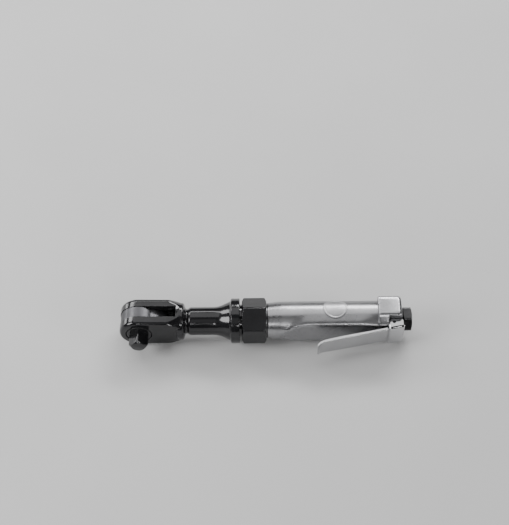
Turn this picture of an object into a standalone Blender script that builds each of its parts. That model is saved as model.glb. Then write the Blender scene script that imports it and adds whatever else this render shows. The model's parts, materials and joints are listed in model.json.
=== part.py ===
"""Half-inch air ratchet: ratchet head, planetary drive, vane motor, handle and throttle.

Lengths are in millimetres and turned into metres when a mesh is made.
X runs along the tool from the head to the air inlet, the square drive points to -Y.
Stations are measured from the drive axis (X) and from the tool axis (Y, Z).
"""
import math

import bmesh
import bpy
from mathutils import Vector

MM = 0.001
GAP = 0.3

# Ratchet head
EAR_R = 17.5
EAR_Y = 13.6
EAR_HALF_W = 16.5
EAR_ROUND = 3.6
SLOT_Y = 5.5
SLOT_END_X = 33.2
ROOT_R = 16.5
ROOT_END_X = 38.0
GROOVE_X = 42.8
GROOVE_R = 10.8
NECK_X0 = 45.7
NECK_X1 = 71.6
NECK_R = 12.6
CONE_X1 = 82.3
CONE_R1 = 17.9
FLANGE_X1 = 90.1
FLANGE_R = 20.2
SLEEVE_X1 = 103.5
SLEEVE_R = 14.7
NECK_BORE_R = 8.3
BUSH_BORE_R = 6.6
BUSH_BORE_X0 = 17.5
GEAR_BORE_X0 = 77.6
GEAR_BORE_R = 13.3

# Square drive
SQUARE_AF = 12.7
SQUARE_CORNER_R = 8.5
SQUARE_LEN = 13.0
SQUARE_END_R = 6.0
SQUARE_END_Y = -(EAR_Y + SQUARE_LEN)
JOURNAL_R = 11.0
ANVIL_R = 12.3
ANVIL_Y1 = 10.2
STEM_BORE_R = 3.5
STEM_R = 3.15
BALL_Y = -19.6
BALL_DEG = 225.0

# Yoke
YOKE_Y = 5.2
YOKE_R = 17.0
YOKE_TEETH = 36
YOKE_TIP_R = 13.2
YOKE_ROOT_R = 14.2
YOKE_END_X = 24.5
YOKE_SLOT_X0 = 19.6
YOKE_SLOT_HALF = 7.9
YOKE_REST_DEG = 5.13

# Pawls and reversing knob
PAWL_PIN_Z = 8.0
PAWL_PIN_R = 1.3
PAWL_Y = 4.1
PAWL_TIP_R = 11.7
PAWL_ROOT_R = 11.0
PAWL_HALF_DEG = 40.0
PAWL_STEPS = 16
PAWL_FLAT_Z = 5.1
PAWL_REST_DEG = 3.5
POCKET_Y = 4.4
POCKET_Z0 = 4.6
POCKET_HALF_X = 8.7
KNOB_REST_DEG = -35.0
KNOB_HUB_R = 8.0
KNOB_R = 9.4

# Crankshaft
ECC = 2.2
CRANK_PIN_R = 2.1
CRANK_BUSH_R = 3.2
CRANK_SHAFT_R = 5.9
CARRIER_X0 = 79.0
CARRIER_X1 = 83.6
CARRIER_R = 11.6

# Planetary gears
MODULE = 0.62
SUN_TEETH = 12
PLANET_TEETH = 12
RING_TEETH = 36
ADDENDUM = 0.75 * MODULE
DEDENDUM = 1.1 * MODULE
TOOTH_HALF = 0.31
FLANK_LEAN = 0.27
PLANET_ORBIT = MODULE * (SUN_TEETH + PLANET_TEETH) / 2
PLANET_PIN_R = 1.2
PLANET_ANGLES = (90.0, 210.0, 330.0)

# Coupling nut
NUT_X0 = 91.9
NUT_X1 = 113.9
NUT_AF = 36.0
NUT_CORNER_R = 20.4
NUT_BORE_R = 15.0

# Motor
HANDLE_BORE_R = 13.3
MOTOR_R = 13.0
ROTOR_R = 9.8
CYL_BORE_R = 11.1
CYL_OFFSET = 0.9
DOWEL_Y = 11.65
ROTOR_X0 = 114.1
ROTOR_X1 = 157.7
VANES = 5
VANE_HALF = 0.75
VANE_SLOT_HALF = 1.05
VANE_SLOT_R = 5.2

# Handle
SPIGOT_X0 = 104.0
COLLAR_X0 = 114.2
GRIP_R = 16.9
GRIP_FRONT = 14.0
EXHAUST_X = (132.0, 138.0, 144.0)
BLOCK_X0 = 213.2
BLOCK_X1 = 234.0
BLOCK_Z = 20.4
BLOCK_BACK = 12.7
BLOCK_CHAMFER_DIST = 18.4
BLOCK_CHAMFER_DEG = 140.2
CUT_EDGE_Z = 11.8
LUG_Z = 11.0
LUG_FRONT = 13.6
CHAMBER_R = 8.3
CHAMBER_X0 = 216.4
AIR_BORE_R = 4.0

# Throttle
PIN_X = 226.7
PIN_Y = -11.2
LEVER_PIN_R = 1.2
LEVER_T = 1.6
LEVER_EAR_Z = 13.4
PLUNGER_X = 213.0
PLUNGER_R = 2.0
VALVE_X = 219.9
VALVE_R = 5.0

# Inlet
INLET_HEX_X0 = 235.7
INLET_HEX_X1 = 243.6
INLET_AF = 20.6
INLET_CORNER_R = 11.6
INLET_BORE_R = 5.9

# Badge
BADGE_X = 175.0
BADGE_DEG = 82.0
BADGE_R = 10.7

FINE = 36
MEDIUM = 28
SMALL = 20
TINY = 12
SECTION = 48
NUT_SECTION = 48
BUSHING_SECTION = 36
BORE_TWIST = 0.037

MATERIALS = {
    "black_steel": ((0.02, 0.02, 0.022, 1.0), 0.9, 0.28),
    "bright_steel": ((0.55, 0.55, 0.56, 1.0), 1.0, 0.22),
    "dark_steel": ((0.16, 0.16, 0.17, 1.0), 1.0, 0.4),
    "satin_aluminium": ((0.62, 0.62, 0.63, 1.0), 0.9, 0.4),
    "chrome": ((0.78, 0.78, 0.8, 1.0), 1.0, 0.08),
    "bronze": ((0.45, 0.3, 0.14, 1.0), 1.0, 0.35),
    "vane_resin": ((0.2, 0.11, 0.05, 1.0), 0.0, 0.5),
    "rubber": ((0.02, 0.02, 0.02, 1.0), 0.0, 0.7),
    "badge_metal": ((0.42, 0.42, 0.43, 1.0), 0.8, 0.35),
}


def clear_scene():
    for obj in list(bpy.data.objects):
        bpy.data.objects.remove(obj, do_unlink=True)


def make_material(name):
    colour, metallic, roughness = MATERIALS[name]
    mat = bpy.data.materials.new(name)
    mat.use_nodes = True
    shader = mat.node_tree.nodes["Principled BSDF"]
    shader.inputs["Base Color"].default_value = colour
    shader.inputs["Metallic"].default_value = metallic
    shader.inputs["Roughness"].default_value = roughness
    return mat


def along_x(a, c, s):
    return (a, c, s)


def along_y(a, c, s):
    return (s, a, c)


def along_z(a, c, s):
    return (c, s, a)


def mesh_object(name, verts, faces, origin=(0, 0, 0)):
    """Object from tool-space millimetres, with its own origin, riding on the tool axis."""
    mesh = bpy.data.meshes.new(name)
    shift = Vector(origin)
    mesh.from_pydata([(Vector(v) - shift) * MM for v in verts], [], faces)
    work = bmesh.new()
    work.from_mesh(mesh)
    bmesh.ops.recalc_face_normals(work, faces=work.faces)
    work.to_mesh(mesh)
    work.free()
    obj = bpy.data.objects.new(name, mesh)
    bpy.context.collection.objects.link(obj)
    obj.parent = TOOL
    obj.location = shift * MM
    return obj


def finish(obj, material, smooth=True):
    obj.data.materials.append(MAT[material])
    if smooth:
        for face in obj.data.polygons:
            face.use_smooth = True
    return obj


def revolve(name, axis, profile, count=FINE, centre=(0, 0, 0), origin=None, turn=0.0):
    """Solid of revolution; the profile is (station, radius), closed on itself unless it ends at radius 0."""
    verts = []
    rings = []
    for station, radius in profile:
        if radius == 0:
            rings.append([len(verts)])
            verts.append(Vector(axis(station, 0, 0)) + Vector(centre))
            continue
        ring = []
        for k in range(count):
            a = 2 * math.pi * k / count + turn
            ring.append(len(verts))
            point = Vector(axis(station, radius * math.cos(a), radius * math.sin(a)))
            verts.append(point + Vector(centre))
        rings.append(ring)
    closed = len(rings[0]) > 1 and len(rings[-1]) > 1
    pairs = list(zip(rings, rings[1:]))
    if closed:
        pairs.append((rings[-1], rings[0]))
    faces = []
    for low, high in pairs:
        faces.extend(bridge(low, high, count))
    return mesh_object(name, verts, faces, centre if origin is None else origin)


def bridge(low, high, count):
    faces = []
    for k in range(count):
        n = (k + 1) % count
        if len(low) == 1:
            faces.append((low[0], high[k], high[n]))
        elif len(high) == 1:
            faces.append((low[k], high[0], low[n]))
        else:
            faces.append((low[k], high[k], high[n], low[n]))
    return faces


def loft(name, axis, stations, origin=(0, 0, 0)):
    """Solid through outlines of equal length; each station is (position, [(c, s), ...])."""
    count = len(stations[0][1])
    verts = []
    for position, outline in stations:
        verts.extend(axis(position, c, s) for c, s in outline)
    faces = []
    for i in range(len(stations) - 1):
        low = list(range(i * count, (i + 1) * count))
        high = list(range((i + 1) * count, (i + 2) * count))
        faces.extend(bridge(low, high, count))
    faces.append(tuple(range(count)))
    last = (len(stations) - 1) * count
    faces.append(tuple(range(last, last + count)))
    return mesh_object(name, verts, faces, origin)


def sleeve(name, axis, stations, inner, origin=(0, 0, 0)):
    """Tube with an outside of (position, outline) stations and one straight inner outline."""
    count = len(inner)
    rings = [[axis(position, c, s) for c, s in outline] for position, outline in stations]
    rings.append([axis(stations[-1][0], c, s) for c, s in inner])
    rings.append([axis(stations[0][0], c, s) for c, s in inner])
    verts = [point for ring in rings for point in ring]
    order = [list(range(i * count, (i + 1) * count)) for i in range(len(rings))]
    faces = []
    for low, high in zip(order, order[1:] + order[:1]):
        faces.extend(bridge(low, high, count))
    return mesh_object(name, verts, faces, origin)


def circle(radius, count, turn=0.0, centre=(0.0, 0.0)):
    points = []
    for k in range(count):
        a = 2 * math.pi * k / count + turn
        points.append((centre[0] + radius * math.cos(a), centre[1] + radius * math.sin(a)))
    return points


def box(name, low, high, origin=(0, 0, 0)):
    outline = [(low[1], low[2]), (high[1], low[2]), (high[1], high[2]), (low[1], high[2])]
    return loft(name, along_x, [(low[0], outline), (high[0], outline)], origin)


def hide(tool):
    tool.hide_render = True
    tool.display_type = "WIRE"


def boolean(target, tool, operation):
    hide(tool)
    mod = target.modifiers.new(tool.name, "BOOLEAN")
    mod.operation = operation
    mod.solver = "EXACT"
    mod.object = tool


def cut(target, *tools):
    for tool in tools:
        boolean(target, tool, "DIFFERENCE")


def add(target, *tools):
    for tool in tools:
        boolean(target, tool, "UNION")


def tube(name, axis, start, end, r_in, r_out, count=MEDIUM, centre=(0, 0, 0), chamfer=0.0):
    if chamfer:
        profile = [
            (start, r_in), (start, r_out - chamfer), (start + chamfer, r_out),
            (end - chamfer, r_out), (end, r_out - chamfer), (end, r_in),
        ]
    else:
        profile = [(start, r_in), (start, r_out), (end, r_out), (end, r_in)]
    return revolve(name, axis, profile, count, centre)


def rod(name, axis, start, end, radius, count=TINY, centre=(0, 0, 0), chamfer=0.0, origin=None):
    if chamfer:
        profile = [
            (start, 0), (start, radius - chamfer), (start + chamfer, radius),
            (end - chamfer, radius), (end, radius - chamfer), (end, 0),
        ]
    else:
        profile = [(start, 0), (start, radius), (end, radius), (end, 0)]
    return revolve(name, axis, profile, count, centre, origin, BORE_TWIST)


def coil(name, axis, start, end, radius, wire, turns, centre=(0, 0, 0), per_turn=8, sides=4):
    """Round wire wound as a helix between two stations."""
    total = turns * per_turn
    verts = []
    for i in range(total + 1):
        a = 2 * math.pi * i / per_turn
        station = start + wire + (end - start - 2 * wire) * i / total
        for k in range(sides):
            b = 2 * math.pi * k / sides
            r = radius + wire * math.cos(b)
            point = Vector(axis(station + wire * math.sin(b), r * math.cos(a), r * math.sin(a)))
            verts.append(point + Vector(centre))
    faces = []
    for i in range(total):
        low = list(range(i * sides, (i + 1) * sides))
        high = list(range((i + 1) * sides, (i + 2) * sides))
        faces.extend(bridge(low, high, sides))
    faces.append(tuple(range(sides)))
    faces.append(tuple(range(total * sides, (total + 1) * sides)))
    return mesh_object(name, verts, faces, centre)


def gear_outline(teeth, tip, root, pitch, turn=0.0):
    """Four points a tooth; the tooth is centred on the turn angle."""
    points = []
    half_root = TOOTH_HALF + FLANK_LEAN * abs(pitch - root)
    half_tip = TOOTH_HALF - FLANK_LEAN * abs(tip - pitch)
    for k in range(teeth):
        mid = turn + 2 * math.pi * k / teeth
        for radius, half in ((root, -half_root), (tip, -half_tip), (tip, half_tip), (root, half_root)):
            a = mid + half / radius
            points.append((radius * math.cos(a), radius * math.sin(a)))
    return points


def hex_outline(flats, corner_r, count, turn):
    points = []
    sector = math.pi / 3
    for k in range(count):
        a = 2 * math.pi * k / count
        off = (a - turn + sector / 2) % sector - sector / 2
        radius = min(flats / 2 / math.cos(off), corner_r)
        points.append((radius * math.cos(a), radius * math.sin(a)))
    return points


# Ratchet head -----------------------------------------------------------------------------

def ear_outline(inset):
    points = []
    for k in range(25):
        a = math.radians(90 + 180 * k / 24)
        points.append(((EAR_R - inset) * math.cos(a), (EAR_R - inset) * math.sin(a)))
    half = EAR_HALF_W - inset
    points.extend([(SLOT_END_X, -half), (ROOT_END_X, -half), (ROOT_END_X, half), (SLOT_END_X, half)])
    return [(z, x) for x, z in points]


def ear_block():
    stations = []
    for share, drop in ((0.0, 0.0), (0.35, 0.06), (0.7, 0.28), (0.92, 0.62), (1.0, 1.0)):
        y = EAR_Y - EAR_ROUND + EAR_ROUND * share
        stations.append((y, ear_outline(EAR_ROUND * drop * 0.7)))
    mirrored = [(-y, outline) for y, outline in reversed(stations)]
    block = loft("ear_block", along_y, mirrored + stations)
    shoulder = [
        (-EAR_R - 3, 0), (-EAR_R - 3, 22.4), (14.0, 22.4), (22.0, 21.3), (28.0, 19.8), (33.0, 18.1),
        (36.4, 16.9), (ROOT_END_X - 0.2, 16.2), (ROOT_END_X + 0.6, 15.8), (ROOT_END_X + 0.6, 0),
    ]
    boolean(block, revolve("ear_shoulder", along_x, shoulder, FINE, turn=BORE_TWIST), "INTERSECT")
    return block


def ratchet_housing():
    profile = [
        (SLOT_END_X, 0), (SLOT_END_X, 14.2), (SLOT_END_X + 0.9, 15.8), (SLOT_END_X + 2.2, ROOT_R),
        (39.2, ROOT_R), (40.4, 15.7), (41.2, 13.6), (41.9, 11.4), (GROOVE_X, GROOVE_R),
        (43.9, 11.2), (NECK_X0, NECK_R), (NECK_X1, NECK_R), (CONE_X1 - 0.6, CONE_R1 - 0.3),
        (CONE_X1, FLANGE_R - 0.5), (CONE_X1 + 0.6, FLANGE_R), (FLANGE_X1 - 0.7, FLANGE_R),
        (FLANGE_X1, FLANGE_R - 0.7), (FLANGE_X1, SLEEVE_R), (SLEEVE_X1 - 0.5, SLEEVE_R),
        (SLEEVE_X1, SLEEVE_R - 0.5), (SLEEVE_X1, 0),
    ]
    body = revolve("ratchet_housing", along_x, profile, FINE)
    add(body, ear_block())
    bore = [
        (BUSH_BORE_X0, 0), (BUSH_BORE_X0, BUSH_BORE_R), (SLOT_END_X + 0.1, BUSH_BORE_R),
        (SLOT_END_X + 0.1, NECK_BORE_R), (GEAR_BORE_X0, NECK_BORE_R), (GEAR_BORE_X0, GEAR_BORE_R),
        (SLEEVE_X1 + 1, GEAR_BORE_R), (SLEEVE_X1 + 1, 0),
    ]
    cut(body, revolve("neck_bore", along_x, bore, MEDIUM, turn=BORE_TWIST))
    cut(body, box("yoke_slot", (-EAR_R - 2, -SLOT_Y, -EAR_R - 2), (SLOT_END_X, SLOT_Y, EAR_R + 2)))
    ears = [
        (-EAR_Y - 1, 0), (-EAR_Y - 1, JOURNAL_R + 0.4), (0, JOURNAL_R + 0.4), (0, ANVIL_R + 0.5),
        (11.2, ANVIL_R + 0.5), (11.2, 13.8), (12.8, 13.8), (12.8, ANVIL_R + 0.5),
        (EAR_Y + 1, ANVIL_R + 0.5), (EAR_Y + 1, 0),
    ]
    cut(body, revolve("anvil_bore", along_y, ears, FINE, turn=BORE_TWIST))
    return finish(body, "black_steel")


def yoke_outline():
    points = []
    for k in range(31):
        a = math.radians(55 + 250 * k / 30)
        points.append((YOKE_R * math.cos(a), YOKE_R * math.sin(a)))
    lower = [(12.6, -13.5), (17.0, -11.9), (21.0, -10.4), (23.4, -9.5), (YOKE_END_X, -8.7)]
    points.extend(lower)
    points.extend((x, -z) for x, z in reversed(lower))
    return [(z, x) for x, z in points]


def ratchet_yoke():
    outer = yoke_outline()
    body = loft("ratchet_yoke", along_y, [(-YOKE_Y, outer), (YOKE_Y, outer)])
    teeth = []
    for k in range(2 * YOKE_TEETH):
        a = math.pi * k / YOKE_TEETH
        r = YOKE_TIP_R if k % 2 else YOKE_ROOT_R
        teeth.append((r * math.cos(a), r * math.sin(a)))
    tool = loft("yoke_teeth", along_y, [(-YOKE_Y - 1, teeth), (YOKE_Y + 1, teeth)])
    slot_low = (YOKE_SLOT_X0, -YOKE_Y - 1, -YOKE_SLOT_HALF)
    slot_high = (YOKE_END_X + 2, YOKE_Y + 1, YOKE_SLOT_HALF)
    slot = box("yoke_fork", slot_low, slot_high)
    cut(body, tool, slot)
    for piece in (body, tool, slot):
        piece.rotation_euler.y = math.radians(YOKE_REST_DEG)
    return finish(body, "dark_steel", smooth=False)


def square_outline():
    flat = SQUARE_AF / 2
    corner = SQUARE_CORNER_R
    half = math.acos(flat / corner)
    points = []
    for k in range(4):
        face = math.radians(45 + 90 * k)
        corner_mid = face + math.pi / 4
        for a in (face + half, corner_mid, face + math.pi / 2 - half):
            points.append((corner * math.cos(a), corner * math.sin(a)))
    return points


def drive_anvil():
    profile = [
        (-EAR_Y, 0), (-EAR_Y, JOURNAL_R - 0.5), (-EAR_Y + 0.5, JOURNAL_R), (-YOKE_Y, JOURNAL_R),
        (-YOKE_Y, ANVIL_R), (ANVIL_Y1, ANVIL_R), (ANVIL_Y1, STEM_BORE_R),
        (-5.0, STEM_BORE_R), (-5.0, 0),
    ]
    body = revolve("drive_anvil", along_y, profile, FINE)
    outline = square_outline()
    square = loft("square_drive", along_y, [(SQUARE_END_Y, outline), (-EAR_Y + 1.0, outline)])
    reach = SQUARE_CORNER_R - SQUARE_END_R + 1.0
    chamfer = [
        (SQUARE_END_Y - 1, SQUARE_END_R - 1), (SQUARE_END_Y - 1, SQUARE_CORNER_R + 2),
        (SQUARE_END_Y + reach, SQUARE_CORNER_R + 2), (SQUARE_END_Y + reach, SQUARE_END_R + reach),
    ]
    cut(square, revolve("square_chamfer", along_y, chamfer, FINE, turn=BORE_TWIST))
    add(body, square)
    for side, name in ((1, "upper"), (-1, "lower")):
        z0, z1 = sorted((side * POCKET_Z0, side * (ANVIL_R + 1)))
        pocket = box(f"pocket_{name}", (-POCKET_HALF_X, -POCKET_Y, z0), (POCKET_HALF_X, POCKET_Y, z1))
        hole = rod(f"pin_hole_{name}", along_y, -7.6, ANVIL_Y1 + 1, PAWL_PIN_R + GAP, TINY,
                   (0, 0, side * PAWL_PIN_Z))
        cut(body, pocket, hole)
    cut(body, box("plunger_window", (-4.6, -1.8, -POCKET_Z0 - 0.4), (4.6, 1.8, POCKET_Z0 + 0.4)))
    ball_hole = rod("ball_hole", along_z, 2.2, SQUARE_AF, 2.0, TINY)
    ball_hole.location = (0, BALL_Y * MM, 0)
    ball_hole.rotation_euler.y = math.radians(BALL_DEG)
    cut(body, ball_hole)
    return finish(body, "black_steel")


def on_ball_axis(obj):
    obj.location = (0, BALL_Y * MM, 0)
    obj.rotation_euler.y = math.radians(BALL_DEG)
    return obj


def sphere_profile(centre, radius, steps=6):
    profile = [(centre - radius, 0)]
    for k in range(1, steps):
        a = math.pi * k / steps
        profile.append((centre - radius * math.cos(a), radius * math.sin(a)))
    profile.append((centre + radius, 0))
    return profile


def socket_detent():
    ball = revolve("socket_ball", along_z, sphere_profile(5.35, 1.65), TINY)
    finish(on_ball_axis(ball), "bright_steel")
    spring = coil("socket_ball_spring", along_z, 2.4, 3.6, 1.1, 0.22, 2)
    finish(on_ball_axis(spring), "bright_steel")


def pawl(name, side):
    points = []
    for k in range(PAWL_STEPS + 1):
        a = math.radians(-PAWL_HALF_DEG + 2 * PAWL_HALF_DEG * k / PAWL_STEPS)
        r = PAWL_ROOT_R if k % 2 else PAWL_TIP_R
        points.append((side * r * math.cos(a), r * math.sin(a)))
    flat_z = side * PAWL_FLAT_Z
    points.extend([(side * 6.6, 6.9), (flat_z, 3.4), (flat_z, -3.4), (side * 6.6, -6.9)])
    pivot = (0, 0, side * PAWL_PIN_Z)
    body = loft(name, along_y, [(-PAWL_Y, points), (PAWL_Y, points)], pivot)
    hole = rod(f"{name}_bore", along_y, -PAWL_Y - 1, PAWL_Y + 1, PAWL_PIN_R + GAP, TINY, pivot)
    cut(body, hole)
    body.rotation_euler.y = math.radians(PAWL_REST_DEG)
    finish(body, "bright_steel", smooth=False)
    pin = rod(f"{name}_pin", along_y, -7.2, 7.2, PAWL_PIN_R, TINY, pivot, 0.2)
    finish(pin, "dark_steel")


def reverse_knob():
    profile = [
        (-4.6, 0), (-4.6, STEM_R), (10.6, STEM_R), (10.6, KNOB_HUB_R), (13.9, KNOB_HUB_R),
        (13.9, KNOB_R - 0.4), (14.3, KNOB_R), (16.0, KNOB_R), (16.6, KNOB_R - 0.8), (16.6, 0),
    ]
    knob = revolve("reverse_knob", along_y, profile, MEDIUM)
    bar = []
    for y, shrink in ((16.0, 0.0), (18.0, 0.3), (18.6, 1.0)):
        half_z = 7.6 - shrink
        half_x = 2.7 - shrink
        bar.append((y, [
            (-half_z + 1.2, -half_x), (half_z - 1.2, -half_x), (half_z, 0), (half_z - 1.2, half_x),
            (-half_z + 1.2, half_x), (-half_z, 0),
        ]))
    grip = loft("knob_bar", along_y, bar)
    cross = rod("plunger_bore", along_z, -6, 6, 1.5, TINY)
    add(knob, grip)
    cut(knob, cross)
    pieces = [knob, grip, cross]
    for side, name in ((1, "upper"), (-1, "lower")):
        profile = [(1.6, 0), (1.6, 1.15), (4.0, 1.15), (4.45, 0.75), (4.6, 0)]
        if side < 0:
            profile = [(-a, r) for a, r in profile]
        pieces.append(finish(revolve(f"pawl_plunger_{name}", along_z, profile, 12), "bright_steel"))
    pieces.append(finish(coil("pawl_spring", along_z, -1.3, 1.3, 0.8, 0.2, 3), "bright_steel"))
    for piece in pieces:
        piece.rotation_euler.y = math.radians(KNOB_REST_DEG)
    finish(knob, "black_steel")


def anvil_retainers():
    washer = tube("anvil_thrust_washer", along_y, ANVIL_Y1 + GAP, ANVIL_Y1 + 0.7, 9.5, 12.4, MEDIUM)
    finish(washer, "bright_steel", smooth=False)
    ring = tube("anvil_snap_ring", along_y, 11.55, 12.5, 10.6, 13.45, MEDIUM)
    cut(ring, box("snap_ring_gap", (-2.6, 10.8, 8), (2.6, 13.4, 15)))
    finish(ring, "dark_steel", smooth=False)


# Crankshaft and planetary gears -------------------------------------------------------------

def orbit(angle):
    a = math.radians(angle)
    return (PLANET_ORBIT * math.cos(a), PLANET_ORBIT * math.sin(a))


def crankshaft():
    profile = [
        (30.2, 0), (30.2, 6.0), (30.5, 6.2), (35.0, 6.2), (35.3, CRANK_SHAFT_R),
        (CARRIER_X0, CRANK_SHAFT_R), (CARRIER_X0, CARRIER_R - 0.3), (CARRIER_X0 + 0.3, CARRIER_R),
        (CARRIER_X1 - 0.3, CARRIER_R), (CARRIER_X1, CARRIER_R - 0.3), (CARRIER_X1, 0),
    ]
    body = revolve("crankshaft", along_x, profile, MEDIUM)
    add(body, rod("crank_pin", along_x, 20.6, 31.5, CRANK_PIN_R, TINY, (0, 0, -ECC), 0.3))
    for n, angle in enumerate(PLANET_ANGLES, 1):
        y, z = orbit(angle)
        seat_r = PLANET_PIN_R + GAP
        cut(body, rod(f"pin_seat_{n}", along_x, CARRIER_X0 + 0.9, CARRIER_X1 + 1, seat_r, 12, (0, y, z)))
    finish(body, "dark_steel")
    bush = tube("crank_bush", along_x, 21.0, 29.4, CRANK_PIN_R + GAP, CRANK_BUSH_R, SMALL, (0, 0, -ECC), 0.5)
    finish(bush, "bright_steel")


def neck_parts():
    shaft = CRANK_SHAFT_R + GAP
    finish(tube("crank_bearing_front", along_x, 36.2, 49.8, shaft, 8.0, SMALL), "bright_steel")
    finish(tube("crank_bearing_spacer", along_x, 50.1, 61.4, shaft + 0.2, 8.0, SMALL), "dark_steel")
    finish(tube("crank_bearing_rear", along_x, 61.7, 76.8, shaft, 8.0, SMALL), "bright_steel")
    washer = tube("crank_thrust_washer", along_x, 77.9, 78.7, shaft + 0.2, 12.9, MEDIUM)
    finish(washer, "bronze", smooth=False)


def planet_gears():
    pitch = MODULE * PLANET_TEETH / 2
    for n, angle in enumerate(PLANET_ANGLES, 1):
        y, z = orbit(angle)
        turn = math.radians(angle) + math.pi / PLANET_TEETH
        outline = gear_outline(PLANET_TEETH, pitch + ADDENDUM, pitch - DEDENDUM, pitch, turn)
        bore = circle(PLANET_PIN_R + GAP, len(outline), turn)
        shifted = [(c + y, s + z) for c, s in outline]
        bored = [(c + y, s + z) for c, s in bore]
        gear = sleeve(f"planet_gear_{n}", along_x, [(84.2, shifted), (94.2, shifted)], bored, (0, y, z))
        finish(gear, "bright_steel", smooth=False)
        pin = rod(f"planet_pin_{n}", along_x, CARRIER_X0 + 1.2, 94.8, PLANET_PIN_R, 12, (0, y, z), 0.2)
        finish(pin, "dark_steel")


def ring_gear():
    pitch = MODULE * RING_TEETH / 2
    inner = gear_outline(RING_TEETH, pitch - ADDENDUM, pitch + MODULE, pitch, math.radians(PLANET_ANGLES[0]))
    outer = [(c * MOTOR_R / math.hypot(c, s), s * MOTOR_R / math.hypot(c, s)) for c, s in inner]
    gear = sleeve("ring_gear", along_x, [(84.0, outer), (95.8, outer)], inner)
    finish(gear, "dark_steel", smooth=False)
    finish(tube("gear_spacer", along_x, 96.1, 103.9, 11.4, MOTOR_R, MEDIUM), "dark_steel")


# Coupling nut ----------------------------------------------------------------------------------

def coupling_nut():
    bore = circle(NUT_BORE_R, NUT_SECTION)
    ends = ((0.0, 17.9), (0.9, 19.3), (2.0, NUT_CORNER_R))
    positions = [(NUT_X0 + d, r) for d, r in ends] + [(NUT_X1 - d, r) for d, r in reversed(ends)]
    stations = [(x, hex_outline(NUT_AF, r, NUT_SECTION, 0.0)) for x, r in positions]
    finish(sleeve("coupling_nut", along_x, stations, bore), "black_steel", smooth=False)


# Motor -----------------------------------------------------------------------------------------

def ball_bearing(prefix, start, end, r_shaft, r_out, pitch, ball_r, balls):
    """Outer race, inner race and a cage carrying the balls."""
    outer = tube(f"{prefix}_outer_race", along_x, start, end, pitch + ball_r + 0.35, r_out, MEDIUM)
    finish(outer, "bright_steel")
    inner = tube(f"{prefix}_inner_race", along_x, start, end, r_shaft + GAP, pitch - ball_r - 0.35, SMALL)
    finish(inner, "bright_steel")
    mid = (start + end) / 2
    half = ball_r * 0.55
    cage = tube(f"{prefix}_ball_cage", along_x, mid - half, mid + half, pitch - 0.4, pitch + 0.4, SMALL)
    for k in range(balls):
        a = 2 * math.pi * k / balls
        spot = (0, pitch * math.cos(a), pitch * math.sin(a))
        add(cage, revolve(f"{prefix}_ball_{k}", along_x, sphere_profile(mid, ball_r, 4), 6, spot))
    finish(cage, "bronze")


def motor_plates():
    front = [
        (104.5, 10.9), (104.5, MOTOR_R), (113.5, MOTOR_R), (113.5, 4.7), (111.2, 4.7), (111.2, 10.9),
    ]
    plate = revolve("motor_front_plate", along_x, front, FINE)
    cut(plate, dowel_hole("front_dowel_hole", 108.0, 115.0))
    finish(plate, "dark_steel")
    rear = [
        (158.1, 3.7), (158.1, MOTOR_R), (166.5, MOTOR_R), (166.5, 8.55), (160.2, 8.55), (160.2, 3.7),
    ]
    plate = revolve("motor_rear_plate", along_x, rear, FINE)
    port = rod("rear_port", along_x, 156, 168, 1.3, 12, (0, 0, -10.4))
    cut(plate, dowel_hole("rear_dowel_hole", 157.0, 164.0), port)
    finish(plate, "dark_steel")



def dowel_hole(name, start, end):
    return rod(name, along_x, start, end, 1.0, 12, (0, DOWEL_Y, 0))


def motor_cylinder():
    outer = circle(MOTOR_R, FINE)
    inner = circle(CYL_BORE_R, FINE, centre=(-CYL_OFFSET, 0))
    body = sleeve("motor_cylinder", along_x, [(113.8, outer), (157.8, outer)], inner)
    cut(body, dowel_hole("cylinder_dowel_hole", 112.0, 160.0))
    for n, x in enumerate(EXHAUST_X, 1):
        cut(body, box(f"cylinder_port_{n}", (x - 1.5, -4.0, -MOTOR_R - 1), (x + 1.5, 4.0, -ROTOR_R)))
    finish(body, "dark_steel")
    finish(rod("motor_dowel", along_x, 109.0, 162.8, 0.7, 12, (0, DOWEL_Y, 0), 0.2), "bright_steel")



def rotor_outline():
    points = []
    half_out = math.asin(VANE_SLOT_HALF / ROTOR_R)
    half_in = math.asin(VANE_SLOT_HALF / VANE_SLOT_R)
    sector = 2 * math.pi / VANES
    for k in range(VANES):
        mid = k * sector
        slot = ((ROTOR_R, -half_out), (VANE_SLOT_R, -half_in), (VANE_SLOT_R, half_in), (ROTOR_R, half_out))
        for r, a in slot:
            points.append((r * math.cos(mid + a), r * math.sin(mid + a)))
        span = sector - 2 * half_out
        for j in range(1, 7):
            a = mid + half_out + span * j / 7
            points.append((ROTOR_R * math.cos(a), ROTOR_R * math.sin(a)))
    return points


def rotor():
    shaft = [
        (96.0, 0), (96.0, 4.3), (115.0, 4.3), (115.0, 4.6),
        (156.0, 4.6), (156.0, 3.35), (166.0, 3.35), (166.0, 0),
    ]
    body = revolve("rotor", along_x, shaft, SMALL)
    outline = rotor_outline()
    add(body, loft("rotor_drum", along_x, [(ROTOR_X0, outline), (ROTOR_X1, outline)]))
    pitch = MODULE * SUN_TEETH / 2
    teeth = gear_outline(SUN_TEETH, pitch + ADDENDUM, pitch - DEDENDUM, pitch, math.radians(PLANET_ANGLES[0]))
    add(body, loft("sun_pinion", along_x, [(84.6, teeth), (96.5, teeth)]))
    finish(body, "bright_steel", smooth=False)
    for k in range(VANES):
        low = (114.4, VANE_SLOT_R + GAP, -VANE_HALF)
        blade = box(f"motor_vane_{k + 1}", low, (157.4, ROTOR_R - 0.1, VANE_HALF))
        blade.rotation_euler.x = 2 * math.pi * k / VANES
        finish(blade, "vane_resin", smooth=False)


# Handle ------------------------------------------------------------------------------------------

def smooth_min(values, power):
    return sum(v ** -power for v in values) ** (-1 / power)


def plane_reach(angle, normal, distance):
    """Distance from the axis to a flat in a given direction, or None when it faces away."""
    facing = math.cos(angle - normal)
    if facing < 0.05:
        return None
    return distance / facing


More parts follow.
